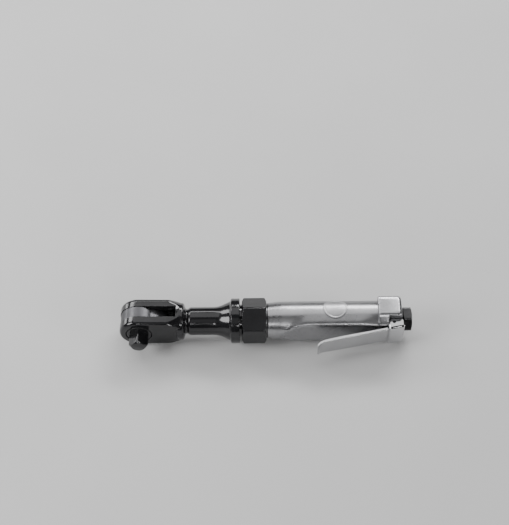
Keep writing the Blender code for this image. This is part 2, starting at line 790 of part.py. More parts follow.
def round_reach(angle, back_r, lean):
    """Round back that runs out into two straight flanks past the lean angle."""
    off = abs((angle + math.pi) % (2 * math.pi) - math.pi)
    if off <= lean:
        return back_r
    return back_r / math.cos(min(off - lean, 1.2))


def corner_cut(y, z):
    """Flat from the edge of the front face to a point on the flank, as (normal angle, distance)."""
    normal = math.atan2(abs(y + GRIP_FRONT), -(z - CUT_EDGE_Z))
    return normal, -GRIP_FRONT * math.cos(normal) + CUT_EDGE_Z * math.sin(normal)


def grip_section(back_r, lean_deg, front, power=14.0, corner=None):
    points = []
    for k in range(SECTION):
        a = 2 * math.pi * k / SECTION
        reach = [round_reach(a, back_r, math.radians(lean_deg)), plane_reach(a, math.pi, front)]
        if corner:
            normal, distance = corner
            reach.extend([plane_reach(a, normal, distance), plane_reach(a, -normal, distance)])
        radius = smooth_min([r for r in reach if r is not None], power)
        points.append((radius * math.cos(a), radius * math.sin(a)))
    return points


def block_section(shrink=0.0, power=26.0):
    flats = [
        (90.0, BLOCK_Z), (-90.0, BLOCK_Z), (0.0, BLOCK_BACK), (180.0, LUG_FRONT),
        (BLOCK_CHAMFER_DEG, BLOCK_CHAMFER_DIST), (-BLOCK_CHAMFER_DEG, BLOCK_CHAMFER_DIST),
        (45.0, 22.6), (-45.0, 22.6),
    ]
    points = []
    for k in range(SECTION):
        a = 2 * math.pi * k / SECTION
        reach = [plane_reach(a, math.radians(n), d - shrink) for n, d in flats]
        radius = smooth_min([r for r in reach if r is not None], power)
        points.append((radius * math.cos(a), radius * math.sin(a)))
    return points


def handle_stations():
    spigot = circle(SLEEVE_R, SECTION)
    return [
        (SPIGOT_X0, circle(SLEEVE_R - 0.5, SECTION)),
        (SPIGOT_X0 + 0.5, spigot),
        (COLLAR_X0 - 0.05, spigot),
        (COLLAR_X0, circle(15.2, SECTION)),
        (COLLAR_X0 + 0.7, circle(15.8, SECTION)),
        (121.0, circle(16.4, SECTION)),
        (127.0, grip_section(16.8, 180, 17.6, 30)),
        (133.0, grip_section(16.9, 125, 16.6, 22)),
        (139.0, grip_section(GRIP_R, 112, 15.6, 18)),
        (145.0, grip_section(GRIP_R, 107, 14.6, 16)),
        (151.0, grip_section(GRIP_R, 106, GRIP_FRONT)),
        (178.0, grip_section(GRIP_R, 106, GRIP_FRONT)),
        (199.4, grip_section(GRIP_R, 106, GRIP_FRONT)),
        (204.0, grip_section(GRIP_R, 106, GRIP_FRONT, 26, corner_cut(-10.9, 14.4))),
        (208.6, grip_section(GRIP_R, 106, GRIP_FRONT, 32, corner_cut(-7.6, 15.3))),
        (BLOCK_X0 - 0.6, grip_section(GRIP_R, 106, LUG_FRONT, 36, corner_cut(-4.8, 16.1))),
        (BLOCK_X0, block_section(0.5)),
        (BLOCK_X0 + 0.7, block_section()),
        (BLOCK_X1 - 2.6, block_section()),
        (BLOCK_X1 - 1.0, block_section(0.6)),
        (BLOCK_X1 - 0.25, block_section(1.6)),
        (BLOCK_X1, block_section(2.4)),
    ]


def handle_bores():
    profile = [
        (SPIGOT_X0 - 1, 0), (SPIGOT_X0 - 1, HANDLE_BORE_R), (168.0, HANDLE_BORE_R), (168.0, AIR_BORE_R),
        (CHAMBER_X0, AIR_BORE_R), (CHAMBER_X0, CHAMBER_R), (BLOCK_X1 + 1, CHAMBER_R), (BLOCK_X1 + 1, 0),
    ]
    return revolve("handle_bore", along_x, profile, FINE, turn=BORE_TWIST)


def motor_housing():
    body = loft("motor_housing", along_x, handle_stations())
    cut(body, handle_bores())
    for side, name in ((1, "upper"), (-1, "lower")):
        z0, z1 = sorted((side * LUG_Z, side * 24.0))
        cut(body, box(f"ear_recess_{name}", (221.8, -16.0, z0), (BLOCK_X1 + 2, -7.8, z1)))
    pin = (PIN_X, PIN_Y, 0)
    cut(body, rod("lever_pin_bore", along_z, -LUG_Z - 2, LUG_Z + 2, LEVER_PIN_R + GAP, TINY, pin))
    cut(body, rod("plunger_port", along_y, -GRIP_FRONT - 2, -1.0, 3.9, SMALL, (PLUNGER_X, 0, 0)))
    for n, x in enumerate(EXHAUST_X, 1):
        cut(body, box(f"exhaust_slot_{n}", (x - 1.2, -4.5, -20.0), (x + 1.2, 4.5, -11.0)))
    return finish(body, "satin_aluminium")


def name_badge():
    """Thin blank disc bent to the back of the grip, standing off it by the usual gap."""
    rows = 4
    count = SMALL
    surface = {True: GRIP_R + 0.85, False: GRIP_R + 0.35}
    verts = []
    faces = []
    for outer_side in (True, False):
        base = len(verts)
        verts.append(badge_point(0, 0, surface[outer_side]))
        for row in range(1, rows + 1):
            for k in range(count):
                a = 2 * math.pi * k / count
                r = BADGE_R * row / rows - (0.35 if outer_side and row == rows else 0.0)
                verts.append(badge_point(r * math.cos(a), r * math.sin(a), surface[outer_side]))
        for k in range(count):
            n = (k + 1) % count
            faces.append((base, base + 1 + k, base + 1 + n))
            for row in range(rows - 1):
                low = base + 1 + row * count
                high = low + count
                faces.append((low + k, high + k, high + n, low + n))
    top = 1 + (rows - 1) * count
    bottom = top + 1 + rows * count
    for k in range(count):
        n = (k + 1) % count
        faces.append((top + k, bottom + k, bottom + n, top + n))
    finish(mesh_object("name_badge", verts, faces, badge_point(0, 0, GRIP_R)), "badge_metal")


def badge_point(dx, arc, radius):
    a = math.radians(BADGE_DEG) + arc / GRIP_R
    reach = radius - GRIP_R + round_reach(a, GRIP_R, math.radians(106))
    return (BADGE_X + dx, reach * math.cos(a), reach * math.sin(a))


# Throttle and inlet ------------------------------------------------------------------------------

def channel_outline(x, y, half, depth, lean):
    """U-shaped sheet section with its web outside; returned as (y, z) with the web at y."""
    t = LEVER_T
    r = 0.9
    flat = [
        (depth, -half), (r, -half), (0.25 * r, -half + 0.25 * r), (0, -half + r),
        (0, half - r), (0.25 * r, half - 0.25 * r), (r, half), (depth, half),
        (depth, half - t), (t, half - t), (t, -half + t), (depth, -half + t),
    ]
    s, c = math.sin(lean), math.cos(lean)
    return [(x - d * s, y + d * c, z) for d, z in flat]


def throttle_lever():
    stations = [
        (159.7, -32.2, 7.2, 1.7, 0.75), (161.0, -30.3, 7.9, 1.75, 0.65), (163.6, -29.0, 8.6, 1.9, 0.34),
        (168.0, -28.0, 9.0, 2.2, 0.2), (180.0, -25.5, 9.4, 2.4, 0.2), (193.0, -22.8, 9.6, 2.2, 0.2),
        (207.0, -19.8, 9.6, 2.1, 0.2), (220.8, -16.9, 9.7, 2.1, 0.2), (222.4, -18.0, 12.6, 3.6, 0.1),
        (223.0, -18.4, 13.2, 6.6, 0.0), (223.9, -18.3, LEVER_EAR_Z, 9.3, 0.0),
        (225.2, -18.1, LEVER_EAR_Z, 9.9, 0.0), (230.5, -17.0, LEVER_EAR_Z, 8.8, 0.0),
        (233.4, -16.4, LEVER_EAR_Z, 8.0, 0.0), (234.9, -16.1, 13.2, 6.9, 0.0), (235.7, -15.7, 12.9, 4.4, 0.0),
    ]
    count = 12
    verts = []
    for x, y, half, depth, lean in stations:
        verts.extend(channel_outline(x, y, half, depth, lean))
    faces = []
    for i in range(len(stations) - 1):
        low = list(range(i * count, (i + 1) * count))
        high = list(range((i + 1) * count, (i + 2) * count))
        faces.extend(bridge(low, high, count))
    faces.append(tuple(range(count)))
    faces.append(tuple(range((len(stations) - 1) * count, len(stations) * count)))
    lever = mesh_object("throttle_lever", verts, faces, (PIN_X, PIN_Y, 0))
    cut(lever, rod("lever_eye", along_z, -15, 15, LEVER_PIN_R + GAP, TINY, (PIN_X, PIN_Y, 0)))
    finish(lever, "chrome", smooth=False)
    place = (PIN_X, PIN_Y, 0)
    pin = tube("lever_pin", along_z, -LEVER_EAR_Z, LEVER_EAR_Z, 0.55, LEVER_PIN_R, TINY, place, 0.15)
    finish(pin, "dark_steel")


def plunger_and_valve():
    profile = [
        (-16.4, 0), (-16.4, 1.2), (-15.8, PLUNGER_R), (-9.0, PLUNGER_R), (-9.0, 1.5), (-8.0, 1.5),
        (-8.0, PLUNGER_R), (-1.9, PLUNGER_R), (-1.6, 1.6), (-1.6, 0),
    ]
    finish(revolve("valve_plunger", along_y, profile, TINY, (PLUNGER_X, 0, 0)), "bright_steel")
    place = (PLUNGER_X, 0, 0)
    bushing = tube("plunger_bushing", along_y, -13.8, -4.9, PLUNGER_R + 0.35, 3.55, SMALL, place, 0.2)
    finish(bushing, "bronze")
    valve = [
        (211.8, 0), (211.8, 0.8), (212.1, 1.1), (VALVE_X, 1.1), (VALVE_X, VALVE_R), (221.6, VALVE_R),
        (222.0, VALVE_R - 0.4), (222.0, 2.2), (223.2, 1.9), (223.2, 0),
    ]
    body = revolve("throttle_valve", along_x, valve, SMALL, origin=(VALVE_X, -VALVE_R, 0))
    finish(body, "bright_steel")
    finish(tube("valve_seat", along_x, 216.7, 219.6, 3.3, 8.0, MEDIUM, chamfer=0.2), "bronze")
    finish(coil("valve_spring", along_x, 222.4, 229.6, 3.4, 0.4, 4, per_turn=10), "bright_steel")


def inlet_parts():
    turn = math.pi / 2
    bore = circle(INLET_BORE_R, BUSHING_SECTION)
    neck = circle(8.0, BUSHING_SECTION)
    ends = ((0.0, 9.9), (0.9, INLET_CORNER_R))
    positions = [(INLET_HEX_X0 + d, r) for d, r in ends] + [(INLET_HEX_X1 - d, r) for d, r in reversed(ends)]
    stations = [(229.9, circle(7.6, BUSHING_SECTION)), (230.3, neck), (INLET_HEX_X0, neck)]
    stations += [(x, hex_outline(INLET_AF, r, BUSHING_SECTION, turn)) for x, r in positions]
    finish(sleeve("inlet_bushing", along_x, stations, bore), "black_steel", smooth=False)
    wire = circle(0.55, 6)
    ring = [(234.95 + a, 8.9 + r) for a, r in wire]
    finish(revolve("inlet_o_ring", along_x, ring, SMALL), "rubber")
    screen = [
        (230.4, 0), (230.4, 2.2), (234.6, 5.5), (236.2, 5.5),
        (236.2, 4.9), (234.8, 4.9), (231.0, 1.7), (231.0, 0),
    ]
    finish(revolve("inlet_screen", along_x, screen, SMALL), "bronze")


def build():
    ratchet_housing()
    ratchet_yoke()
    drive_anvil()
    socket_detent()
    pawl("pawl_upper", 1)
    pawl("pawl_lower", -1)
    reverse_knob()
    anvil_retainers()
    crankshaft()
    neck_parts()
    planet_gears()
    ring_gear()
    coupling_nut()
    ball_bearing("front_bearing", 104.8, 110.9, 4.3, 10.6, 7.6, 1.5, 7)
    ball_bearing("rear_bearing", 160.5, 165.5, 3.35, 8.25, 5.85, 1.05, 7)
    motor_plates()
    motor_cylinder()
    rotor()
    motor_housing()
    name_badge()
    throttle_lever()
    plunger_and_valve()
    inlet_parts()


clear_scene()
TOOL = bpy.data.objects.new("tool_axis", None)
bpy.context.collection.objects.link(TOOL)
TOOL.location = (0, -SQUARE_END_Y * MM, 0)
MAT = {name: make_material(name) for name in MATERIALS}
build()
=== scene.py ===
"""Looks of the air ratchet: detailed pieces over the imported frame, studio light and camera."""
import json
import math

import bmesh
import bpy
from mathutils import Matrix, Vector


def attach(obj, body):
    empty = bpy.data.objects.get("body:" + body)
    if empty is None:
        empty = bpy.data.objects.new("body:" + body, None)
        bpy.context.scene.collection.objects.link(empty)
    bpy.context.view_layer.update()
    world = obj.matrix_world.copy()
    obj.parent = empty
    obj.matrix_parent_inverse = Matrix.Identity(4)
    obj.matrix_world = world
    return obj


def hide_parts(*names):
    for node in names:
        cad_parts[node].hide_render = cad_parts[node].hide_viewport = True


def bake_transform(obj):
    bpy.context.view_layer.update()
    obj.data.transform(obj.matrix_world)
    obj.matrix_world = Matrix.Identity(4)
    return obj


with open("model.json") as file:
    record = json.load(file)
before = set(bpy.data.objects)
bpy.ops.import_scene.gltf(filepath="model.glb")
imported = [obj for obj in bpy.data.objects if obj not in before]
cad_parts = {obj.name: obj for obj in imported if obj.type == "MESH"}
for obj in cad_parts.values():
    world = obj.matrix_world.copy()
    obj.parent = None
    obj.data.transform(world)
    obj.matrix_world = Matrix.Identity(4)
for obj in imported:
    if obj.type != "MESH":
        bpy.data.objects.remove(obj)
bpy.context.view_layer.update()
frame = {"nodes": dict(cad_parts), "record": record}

MM = 0.001
TAU = 2 * math.pi

# In metres: the height of the tool axis over the square's end face, and the floor.
AXIS_Y = 0.0266
FLOOR_Z = -0.0207

# Sizes in millimetres: X along the tool from the drive axis, Y and Z measured from the tool axis.
EAR_R = 17.5
EAR_HALF = 16.5
EAR_END_X = 33.2
EAR_FACE_Y = 13.6
EAR_ROUND_Y = 3.6
EAR_ROUND_Z = 2.55
SLOT_HALF = 5.5
YOKE_R = 16.98
YOKE_HALF = 5.2
YOKE_TEETH = 36
YOKE_TURN_DEG = 5.13
SQUARE_HALF = 6.35
SQUARE_CORNER_R = 8.5
SQUARE_END_Y = -26.6
SQUARE_TIP_R = 6.0
BALL_Y = -19.6
KNOB_TURN_DEG = -35.0
CRANK_THROW_Z = -2.2
NUT_FLATS = 36.0
SECTION = 192
GRIP_R = 16.9
GRIP_FRONT = 14.0
GRIP_LEAN_DEG = 106
BLOCK_HALF = 20.4
BADGE_X = 175.0
BADGE_DEG = 82.0
PORT_X = 213.0
PIN_X = 226.7
PIN_Y = -11.2
SHEET = 1.6
INLET_FLATS = 20.6
THREAD_PITCH = 1.3
POLE_R = 0.0005


# Mesh helpers -------------------------------------------------------------------------------------

def along_x(a, c, s):
    return (a, c, s)


def along_y(a, c, s):
    return (s, a, c)


def along_z(a, c, s):
    return (c, s, a)


def solid(name, rings, caps=True, wrap=False):
    """Mesh through rings of points; each ring is a list of (x, y, z), all of one length."""
    count = len(rings[0])
    verts = [point for ring in rings for point in ring]
    faces = []
    pairs = list(zip(range(len(rings) - 1), range(1, len(rings))))
    if wrap:
        pairs.append((len(rings) - 1, 0))
    for low, high in pairs:
        for k in range(count):
            n = (k + 1) % count
            faces.append((low * count + k, high * count + k, high * count + n, low * count + n))
    if caps and not wrap:
        faces.append(tuple(range(count)))
        last = (len(rings) - 1) * count
        faces.append(tuple(range(last, last + count)))
    return mesh_object(name, verts, faces)


def mesh_object(name, verts, faces):
    """Object from points in millimetres about the tool axis, doubles merged and normals outwards."""
    mesh = bpy.data.meshes.new(name)
    shift = Vector((0, AXIS_Y, 0))
    mesh.from_pydata([Vector(v) * MM + shift for v in verts], [], faces)
    work = bmesh.new()
    work.from_mesh(mesh)
    bmesh.ops.remove_doubles(work, verts=work.verts, dist=1e-7)
    bmesh.ops.recalc_face_normals(work, faces=work.faces)
    work.to_mesh(mesh)
    work.free()
    obj = bpy.data.objects.new(name, mesh)
    bpy.context.scene.collection.objects.link(obj)
    return obj


def ring_at(axis, station, radius, count, centre=(0, 0, 0)):
    points = []
    for k in range(count):
        a = TAU * k / count
        p = axis(station, radius * math.cos(a), radius * math.sin(a))
        points.append((p[0] + centre[0], p[1] + centre[1], p[2] + centre[2]))
    return points


def revolve(name, axis, profile, count=96, centre=(0, 0, 0)):
    """Turned solid. A profile that starts and ends at radius 0 is capped, any other one is a tube."""
    tube = profile[0][1] > 0 and profile[-1][1] > 0
    rings = [ring_at(axis, a, max(r, POLE_R), count, centre) for a, r in profile]
    return solid(name, rings, caps=not tube, wrap=tube)


def loft(name, axis, stations):
    return solid(name, [[axis(a, c, s) for c, s in outline] for a, outline in stations])


def box(name, low, high):
    outline = [(low[1], low[2]), (high[1], low[2]), (high[1], high[2]), (low[1], high[2])]
    return loft(name, along_x, [(low[0], outline), (high[0], outline)])


def rounded_profile(points, radius, steps=4):
    """Rounds the corners of an open profile by the radius, or by a point's own third value."""
    longest = 0.45
    shortest = 0.01
    out = [points[0][:2]]
    for before, here, after in zip(points, points[1:], points[2:]):
        r = here[2] if len(here) > 2 else radius
        p = Vector(here[:2])
        d0 = Vector(before[:2]) - p
        d1 = Vector(after[:2]) - p
        reach = min(r, d0.length * longest, d1.length * longest)
        if reach < shortest:
            out.append(tuple(p))
            continue
        start = p + d0.normalized() * reach
        end = p + d1.normalized() * reach
        for k in range(steps + 1):
            t = k / steps
            q = start * (1 - t) ** 2 + p * 2 * t * (1 - t) + end * t * t
            out.append((q.x, q.y))
    out.append(points[-1][:2])
    return out


def carve(target, operation, *tools):
    """Applies a Boolean with each tool in turn and removes the tools."""
    for tool in tools:
        mod = target.modifiers.new(tool.name, "BOOLEAN")
        mod.operation = operation
        mod.solver = "EXACT"
        mod.object = tool
    bpy.context.view_layer.update()
    graph = bpy.context.evaluated_depsgraph_get()
    mesh = bpy.data.meshes.new_from_object(target.evaluated_get(graph))
    target.modifiers.clear()
    target.data = mesh
    for tool in tools:
        bpy.data.objects.remove(tool, do_unlink=True)


def dress(obj, body, material, nodes=(), bevel=0.25, angle=32, segments=3):
    """Rounds the edges, shades smooth, gives the material and seats the piece on its body."""
    for poly in obj.data.polygons:
        poly.use_smooth = True
    obj.data.set_sharp_from_angle(angle=math.radians(angle))
    if bevel:
        mod = obj.modifiers.new("edges", "BEVEL")
        mod.width = bevel * MM
        mod.segments = segments
        mod.limit_method = "ANGLE"
        mod.angle_limit = math.radians(angle)
        mod.harden_normals = True
    obj.data.materials.clear()
    obj.data.materials.append(material)
    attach(obj, body)
    if nodes:
        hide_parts(*nodes)


# Materials ----------------------------------------------------------------------------------------

class Look:
    """Small helper that wires a procedural metal, resin or rubber."""

    def __init__(self, name):
        self.mat = bpy.data.materials.new(name)
        self.mat.use_nodes = True
        self.tree = self.mat.node_tree
        self.bsdf = self.tree.nodes["Principled BSDF"]
        self.coords = self.node("ShaderNodeTexCoord").outputs["Object"]

    def node(self, kind, **settings):
        made = self.tree.nodes.new(kind)
        for key, value in settings.items():
            setattr(made, key, value)
        return made

    def link(self, a, b):
        self.tree.links.new(a, b)

    def noise(self, scale, detail=4.0, stretch=(1, 1, 1), rough=0.55):
        place = self.node("ShaderNodeMapping")
        place.inputs["Scale"].default_value = stretch
        self.link(self.coords, place.inputs["Vector"])
        tex = self.node("ShaderNodeTexNoise")
        tex.inputs["Scale"].default_value = scale
        tex.inputs["Detail"].default_value = detail
        tex.inputs["Roughness"].default_value = rough
        self.link(place.outputs["Vector"], tex.inputs["Vector"])
        return tex.outputs["Fac"]

    def span(self, value, low, high, from_low=0.3, from_high=0.7):
        """Maps the value from its own range onto low to high."""
        rng = self.node("ShaderNodeMapRange")
        rng.inputs["From Min"].default_value = from_low
        rng.inputs["From Max"].default_value = from_high
        rng.inputs["To Min"].default_value = low
        rng.inputs["To Max"].default_value = high
        self.link(value, rng.inputs["Value"])
        return rng.outputs["Result"]

    def math(self, operation, a, b=None):
        made = self.node("ShaderNodeMath", operation=operation, use_clamp=operation != "ADD")
        for index, value in enumerate((a, b)):
            if value is None:
                continue
            if isinstance(value, (int, float)):
                made.inputs[index].default_value = value
            else:
                self.link(value, made.inputs[index])
        return made.outputs[0]

    def ramp(self, value, stops):
        made = self.node("ShaderNodeValToRGB")
        made.color_ramp.elements[0].position = stops[0][0]
        made.color_ramp.elements[0].color = (*stops[0][1], 1)
        made.color_ramp.elements[1].position = stops[-1][0]
        made.color_ramp.elements[1].color = (*stops[-1][1], 1)
        for position, colour in stops[1:-1]:
            made.color_ramp.elements.new(position).color = (*colour, 1)
        self.link(value, made.inputs["Fac"])
        return made.outputs["Color"]

    def edge_mask(self, radius):
        """1 near convex and concave edges, 0 on open faces."""
        edge, face = 0.86, 0.995
        soft = self.node("ShaderNodeBevel", samples=4)
        soft.inputs["Radius"].default_value = radius * MM
        flat = self.node("ShaderNodeNewGeometry")
        dot = self.node("ShaderNodeVectorMath", operation="DOT_PRODUCT")
        self.link(soft.outputs["Normal"], dot.inputs[0])
        self.link(flat.outputs["Normal"], dot.inputs[1])
        return self.span(dot.outputs["Value"], 1.0, 0.0, edge, face)

    def mix(self, factor, a, b):
        made = self.node("ShaderNodeMix", data_type="RGBA")
        self.link(factor, made.inputs["Factor"])
        colours = [socket for socket in made.inputs if socket.type == "RGBA"]
        for index, value in enumerate((a, b)):
            if isinstance(value, tuple):
                colours[index].default_value = (*value, 1)
            else:
                self.link(value, colours[index])
        return next(socket for socket in made.outputs if socket.type == "RGBA")

    def bump(self, strength, distance, *heights):
        normal = None
        for height in heights:
            made = self.node("ShaderNodeBump")
            made.inputs["Strength"].default_value = strength
            made.inputs["Distance"].default_value = distance * MM
            self.link(height, made.inputs["Height"])
            if normal:
                self.link(normal, made.inputs["Normal"])
            normal = made.outputs["Normal"]
        self.link(normal, self.bsdf.inputs["Normal"])


def metal(name, dark, light, metallic, rough, stretch=(1, 1, 1), grain=900.0, bump=0.1, wear=None,
          coat=0.0):
    """Procedural surface: blotchy tone, brushed or cast grain, worn edges as (colour, radius, amount)."""
    look = Look(name)
    blotch = look.noise(45.0, 5.0)
    fine = look.noise(grain, 3.0, stretch)
    blend = look.math("ADD", look.math("MULTIPLY", blotch, 0.65), look.math("MULTIPLY", fine, 0.35))
    tone = look.ramp(blend, [(0.32, dark), (0.68, light)])
    gloss = look.math("ADD", look.span(blotch, -0.04, 0.05), look.span(fine, rough[0], rough[1]))
    if wear:
        colour, radius, amount = wear
        patches = look.span(look.noise(260.0, 6.0), 0.0, 1.0, 0.42, 0.62)
        mask = look.math("MULTIPLY", look.math("MULTIPLY", look.edge_mask(radius), patches), amount)
        tone = look.mix(mask, tone, colour)
    look.link(tone, look.bsdf.inputs["Base Color"])
    look.link(gloss, look.bsdf.inputs["Roughness"])
    look.bsdf.inputs["Metallic"].default_value = metallic
    look.bsdf.inputs["Coat Weight"].default_value = coat
    look.bsdf.inputs["Coat Roughness"].default_value = 0.12
    look.bump(bump, 0.05, fine, blotch)
    return look.mat


def make_looks():
    return {
        "black_steel": metal(
            "black_steel_look", (0.008, 0.008, 0.009), (0.02, 0.02, 0.022), 0.35, (0.09, 0.17),
            grain=700.0, bump=0.05, wear=((0.3, 0.3, 0.31), 0.45, 0.5), coat=0.25,
        ),
        "black_plate": metal(
            "black_plate_look", (0.012, 0.012, 0.013), (0.028, 0.028, 0.03), 0.5, (0.13, 0.22),
            stretch=(1, 12, 12), grain=500.0, bump=0.06, wear=((0.34, 0.34, 0.35), 0.4, 0.55), coat=0.3,
        ),
        "dark_steel": metal(
            "dark_steel_look", (0.05, 0.05, 0.053), (0.11, 0.11, 0.116), 1.0, (0.3, 0.42),
            stretch=(6, 1, 6), grain=600.0, bump=0.2, wear=((0.4, 0.4, 0.41), 0.4, 0.6),
        ),
        "bright_steel": metal(
            "bright_steel_look", (0.42, 0.42, 0.43), (0.6, 0.6, 0.61), 1.0, (0.18, 0.3),
            stretch=(1, 9, 9), grain=700.0, bump=0.12, wear=((0.75, 0.75, 0.76), 0.3, 0.5),
        ),
        "satin_aluminium": metal(
            "satin_aluminium_look", (0.29, 0.29, 0.3), (0.38, 0.38, 0.39), 1.0, (0.25, 0.34),
            stretch=(1, 14, 14), grain=420.0, bump=0.05, wear=((0.78, 0.78, 0.79), 0.7, 0.5),
        ),
        "chrome": metal(
            "chrome_look", (0.5, 0.5, 0.51), (0.6, 0.6, 0.61), 1.0, (0.05, 0.1),
            stretch=(1, 10, 4), grain=500.0, bump=0.02, wear=((0.9, 0.9, 0.92), 0.4, 0.4),
        ),
        "bronze": metal(
            "bronze_look", (0.34, 0.21, 0.09), (0.5, 0.33, 0.16), 1.0, (0.3, 0.42),
            stretch=(1, 8, 8), grain=600.0, bump=0.12, wear=((0.62, 0.45, 0.25), 0.3, 0.5),
        ),
        "badge_metal": metal(
            "badge_metal_look", (0.34, 0.34, 0.35), (0.46, 0.46, 0.47), 0.85, (0.3, 0.42),
            stretch=(9, 1, 9), grain=600.0, bump=0.1, wear=((0.72, 0.72, 0.73), 0.3, 0.6),
        ),
        "vane_resin": metal(
            "vane_resin_look", (0.12, 0.06, 0.025), (0.26, 0.15, 0.07), 0.0, (0.45, 0.6),
            stretch=(1, 3, 3), grain=1100.0, bump=0.3,
        ),
        "rubber": metal(
            "rubber_look", (0.012, 0.012, 0.012), (0.03, 0.03, 0.03), 0.0, (0.55, 0.75),
            grain=1500.0, bump=0.3,
        ),
    }


LOOK = make_looks()


# Ratchet head -------------------------------------------------------------------------------------

def ear_outline(inset):
    """Outline of an ear, drawn in by the inset: a round end, then sides that widen to the root."""
    steps = 72
    root_x = 38.0
    radius = EAR_R - inset
    half = EAR_HALF - inset
    points = []
    for k in range(steps + 1):
        a = math.radians(90 + 180 * k / steps)
        points.append((radius * math.sin(a), radius * math.cos(a)))
    for t in (0.25, 0.5, 0.75, 1.0):
        points.append((-half - (1 - t) * (EAR_R - EAR_HALF), EAR_END_X * t))
    points.extend([(-half, root_x), (half, root_x)])
    for t in (1.0, 0.75, 0.5, 0.25):
        points.append((half + (1 - t) * (EAR_R - EAR_HALF), EAR_END_X * t))
    return points


def housing_profile():
    """Neck, groove, cone and flange as (x, radius, corner rounding)."""
    raw = [
        (EAR_END_X, 0), (EAR_END_X, 14.2, 0.4), (34.6, 16.5, 1.2), (39.6, 16.5, 1.6), (41.4, 11.6, 1.6),
        (42.8, 10.8, 1.0), (45.4, 12.6, 2.4), (70.8, 12.6, 5.0), (81.6, 17.7, 1.4), (82.3, 20.2, 1.0),
        (90.1, 20.2, 1.0), (90.1, 14.7, 0.1), (103.4, 14.7, 0.5), (103.4, 0),
    ]
    return rounded_profile(raw, 0.4, 6)


def ratchet_housing():
    body = revolve("housing_look", along_x, housing_profile(), 128)
    steps = 9
    flat_y = EAR_FACE_Y - EAR_ROUND_Y
    stations = []
    for k in range(steps + 1):
        a = math.pi / 2 * k / steps
        stations.append((flat_y + EAR_ROUND_Y * math.sin(a), ear_outline(EAR_ROUND_Z * (1 - math.cos(a)))))
    mirrored = [(-y, outline) for y, outline in reversed(stations)]
    ears = loft("ears", along_y, mirrored + stations)
    shoulder = revolve("shoulder", along_x, [
        (-20.5, 0), (-20.5, 22.4), (14.0, 22.4), (18.0, 22.0), (22.0, 21.3), (25.0, 20.6), (28.0, 19.8),
        (31.0, 18.8), (33.0, 18.1), (35.0, 17.4), (36.4, 16.9), (37.8, 16.2), (38.6, 15.8), (38.6, 0),
    ], 160)
    carve(ears, "INTERSECT", shoulder)
    carve(body, "UNION", ears)
    bore = revolve("bore", along_x, [
        (17.5, 0), (17.5, 6.6), (33.3, 6.6), (33.3, 8.3), (77.6, 8.3), (77.6, 13.3), (105.0, 13.3),
        (105.0, 0),
    ], 64)
    slot = box("slot", (-20, -SLOT_HALF, -20), (EAR_END_X, SLOT_HALF, 20))
    seat = revolve("seat", along_y, [
        (-15, 0), (-15, 12.9), (-12.9, 11.4), (0, 11.4), (0, 12.8), (11.2, 12.8), (11.2, 13.8),
        (12.8, 13.8), (12.8, 12.8), (13.2, 12.8), (15, 14.4), (15, 0),
    ], 96)
    carve(body, "DIFFERENCE", bore, slot, seat)
    dress(body, "tool_body", LOOK["black_steel"], ["ratchet_housing"], 0.35, 38)


def yoke_outline():
    """Round about the drive axis, then a tail that narrows to the fork."""
    steps = 96
    points = []
    for k in range(steps + 1):
        a = math.radians(55 + 250 * k / steps)
        points.append((YOKE_R * math.sin(a), YOKE_R * math.cos(a)))
    tail = [
        (-13.45, 12.6), (-12.7, 15.0), (-11.85, 17.0), (-10.35, 21.0), (-9.45, 23.4), (-9.1, 24.1),
        (-8.7, 24.45),
    ]
    points.extend(tail)
    points.extend((-z, x) for z, x in reversed(tail))
    return points


def ratchet_yoke():
    outline = yoke_outline()
    body = loft("yoke_look", along_y, [(-YOKE_HALF, outline), (YOKE_HALF, outline)])
    tip_r, root_r = 13.2, 14.2
    cut_y = YOKE_HALF + 1.0
    teeth = []
    for k in range(2 * YOKE_TEETH):
        a = math.pi * k / YOKE_TEETH
        r = tip_r if k % 2 else root_r
        teeth.append((r * math.cos(a), r * math.sin(a)))
    tool = loft("teeth", along_y, [(-cut_y, teeth), (cut_y, teeth)])
    fork = box("fork", (19.6, -cut_y, -7.9), (26.5, cut_y, 7.9))
    carve(body, "DIFFERENCE", tool, fork)
    turn_about_drive(body, YOKE_TURN_DEG)
    dress(body, "yoke", LOOK["dark_steel"], ["ratchet_yoke"], 0.3, 38)


def turn_about_drive(obj, degrees):
    """Turns a mesh about the drive axis, which lies along Y through the origin."""
    a = math.radians(degrees)
    for v in obj.data.vertices:
        x, z = v.co.x, v.co.z
        v.co.x = x * math.cos(a) + z * math.sin(a)
        v.co.z = -x * math.sin(a) + z * math.cos(a)


def square_outline(limit):
    """Square drive section with its corners turned down to the limit radius."""
    steps = 144
    points = []
    for k in range(steps):
        a = TAU * k / steps
        face = math.radians(45) + math.pi / 2 * round((a - math.radians(45)) / (math.pi / 2))
        radius = min(SQUARE_HALF / math.cos(a - face), SQUARE_CORNER_R, limit)
        points.append((radius * math.cos(a), radius * math.sin(a)))
    return points


def square_stations():
    """Sections of the drive square: a small rounding, a conical chamfer, then the full square."""
    full = 9.0
    stations = [(SQUARE_END_Y, square_outline(5.85)), (SQUARE_END_Y + 0.05, square_outline(SQUARE_TIP_R))]
    for depth in (0.2, 0.35, 0.6, 0.9, 1.2, 1.5, 1.8, 2.1, 2.35, 2.5):
        stations.append((SQUARE_END_Y + depth, square_outline(SQUARE_TIP_R + depth)))
    stations += [(-20.0, square_outline(full)), (-13.0, square_outline(full))]
    return stations


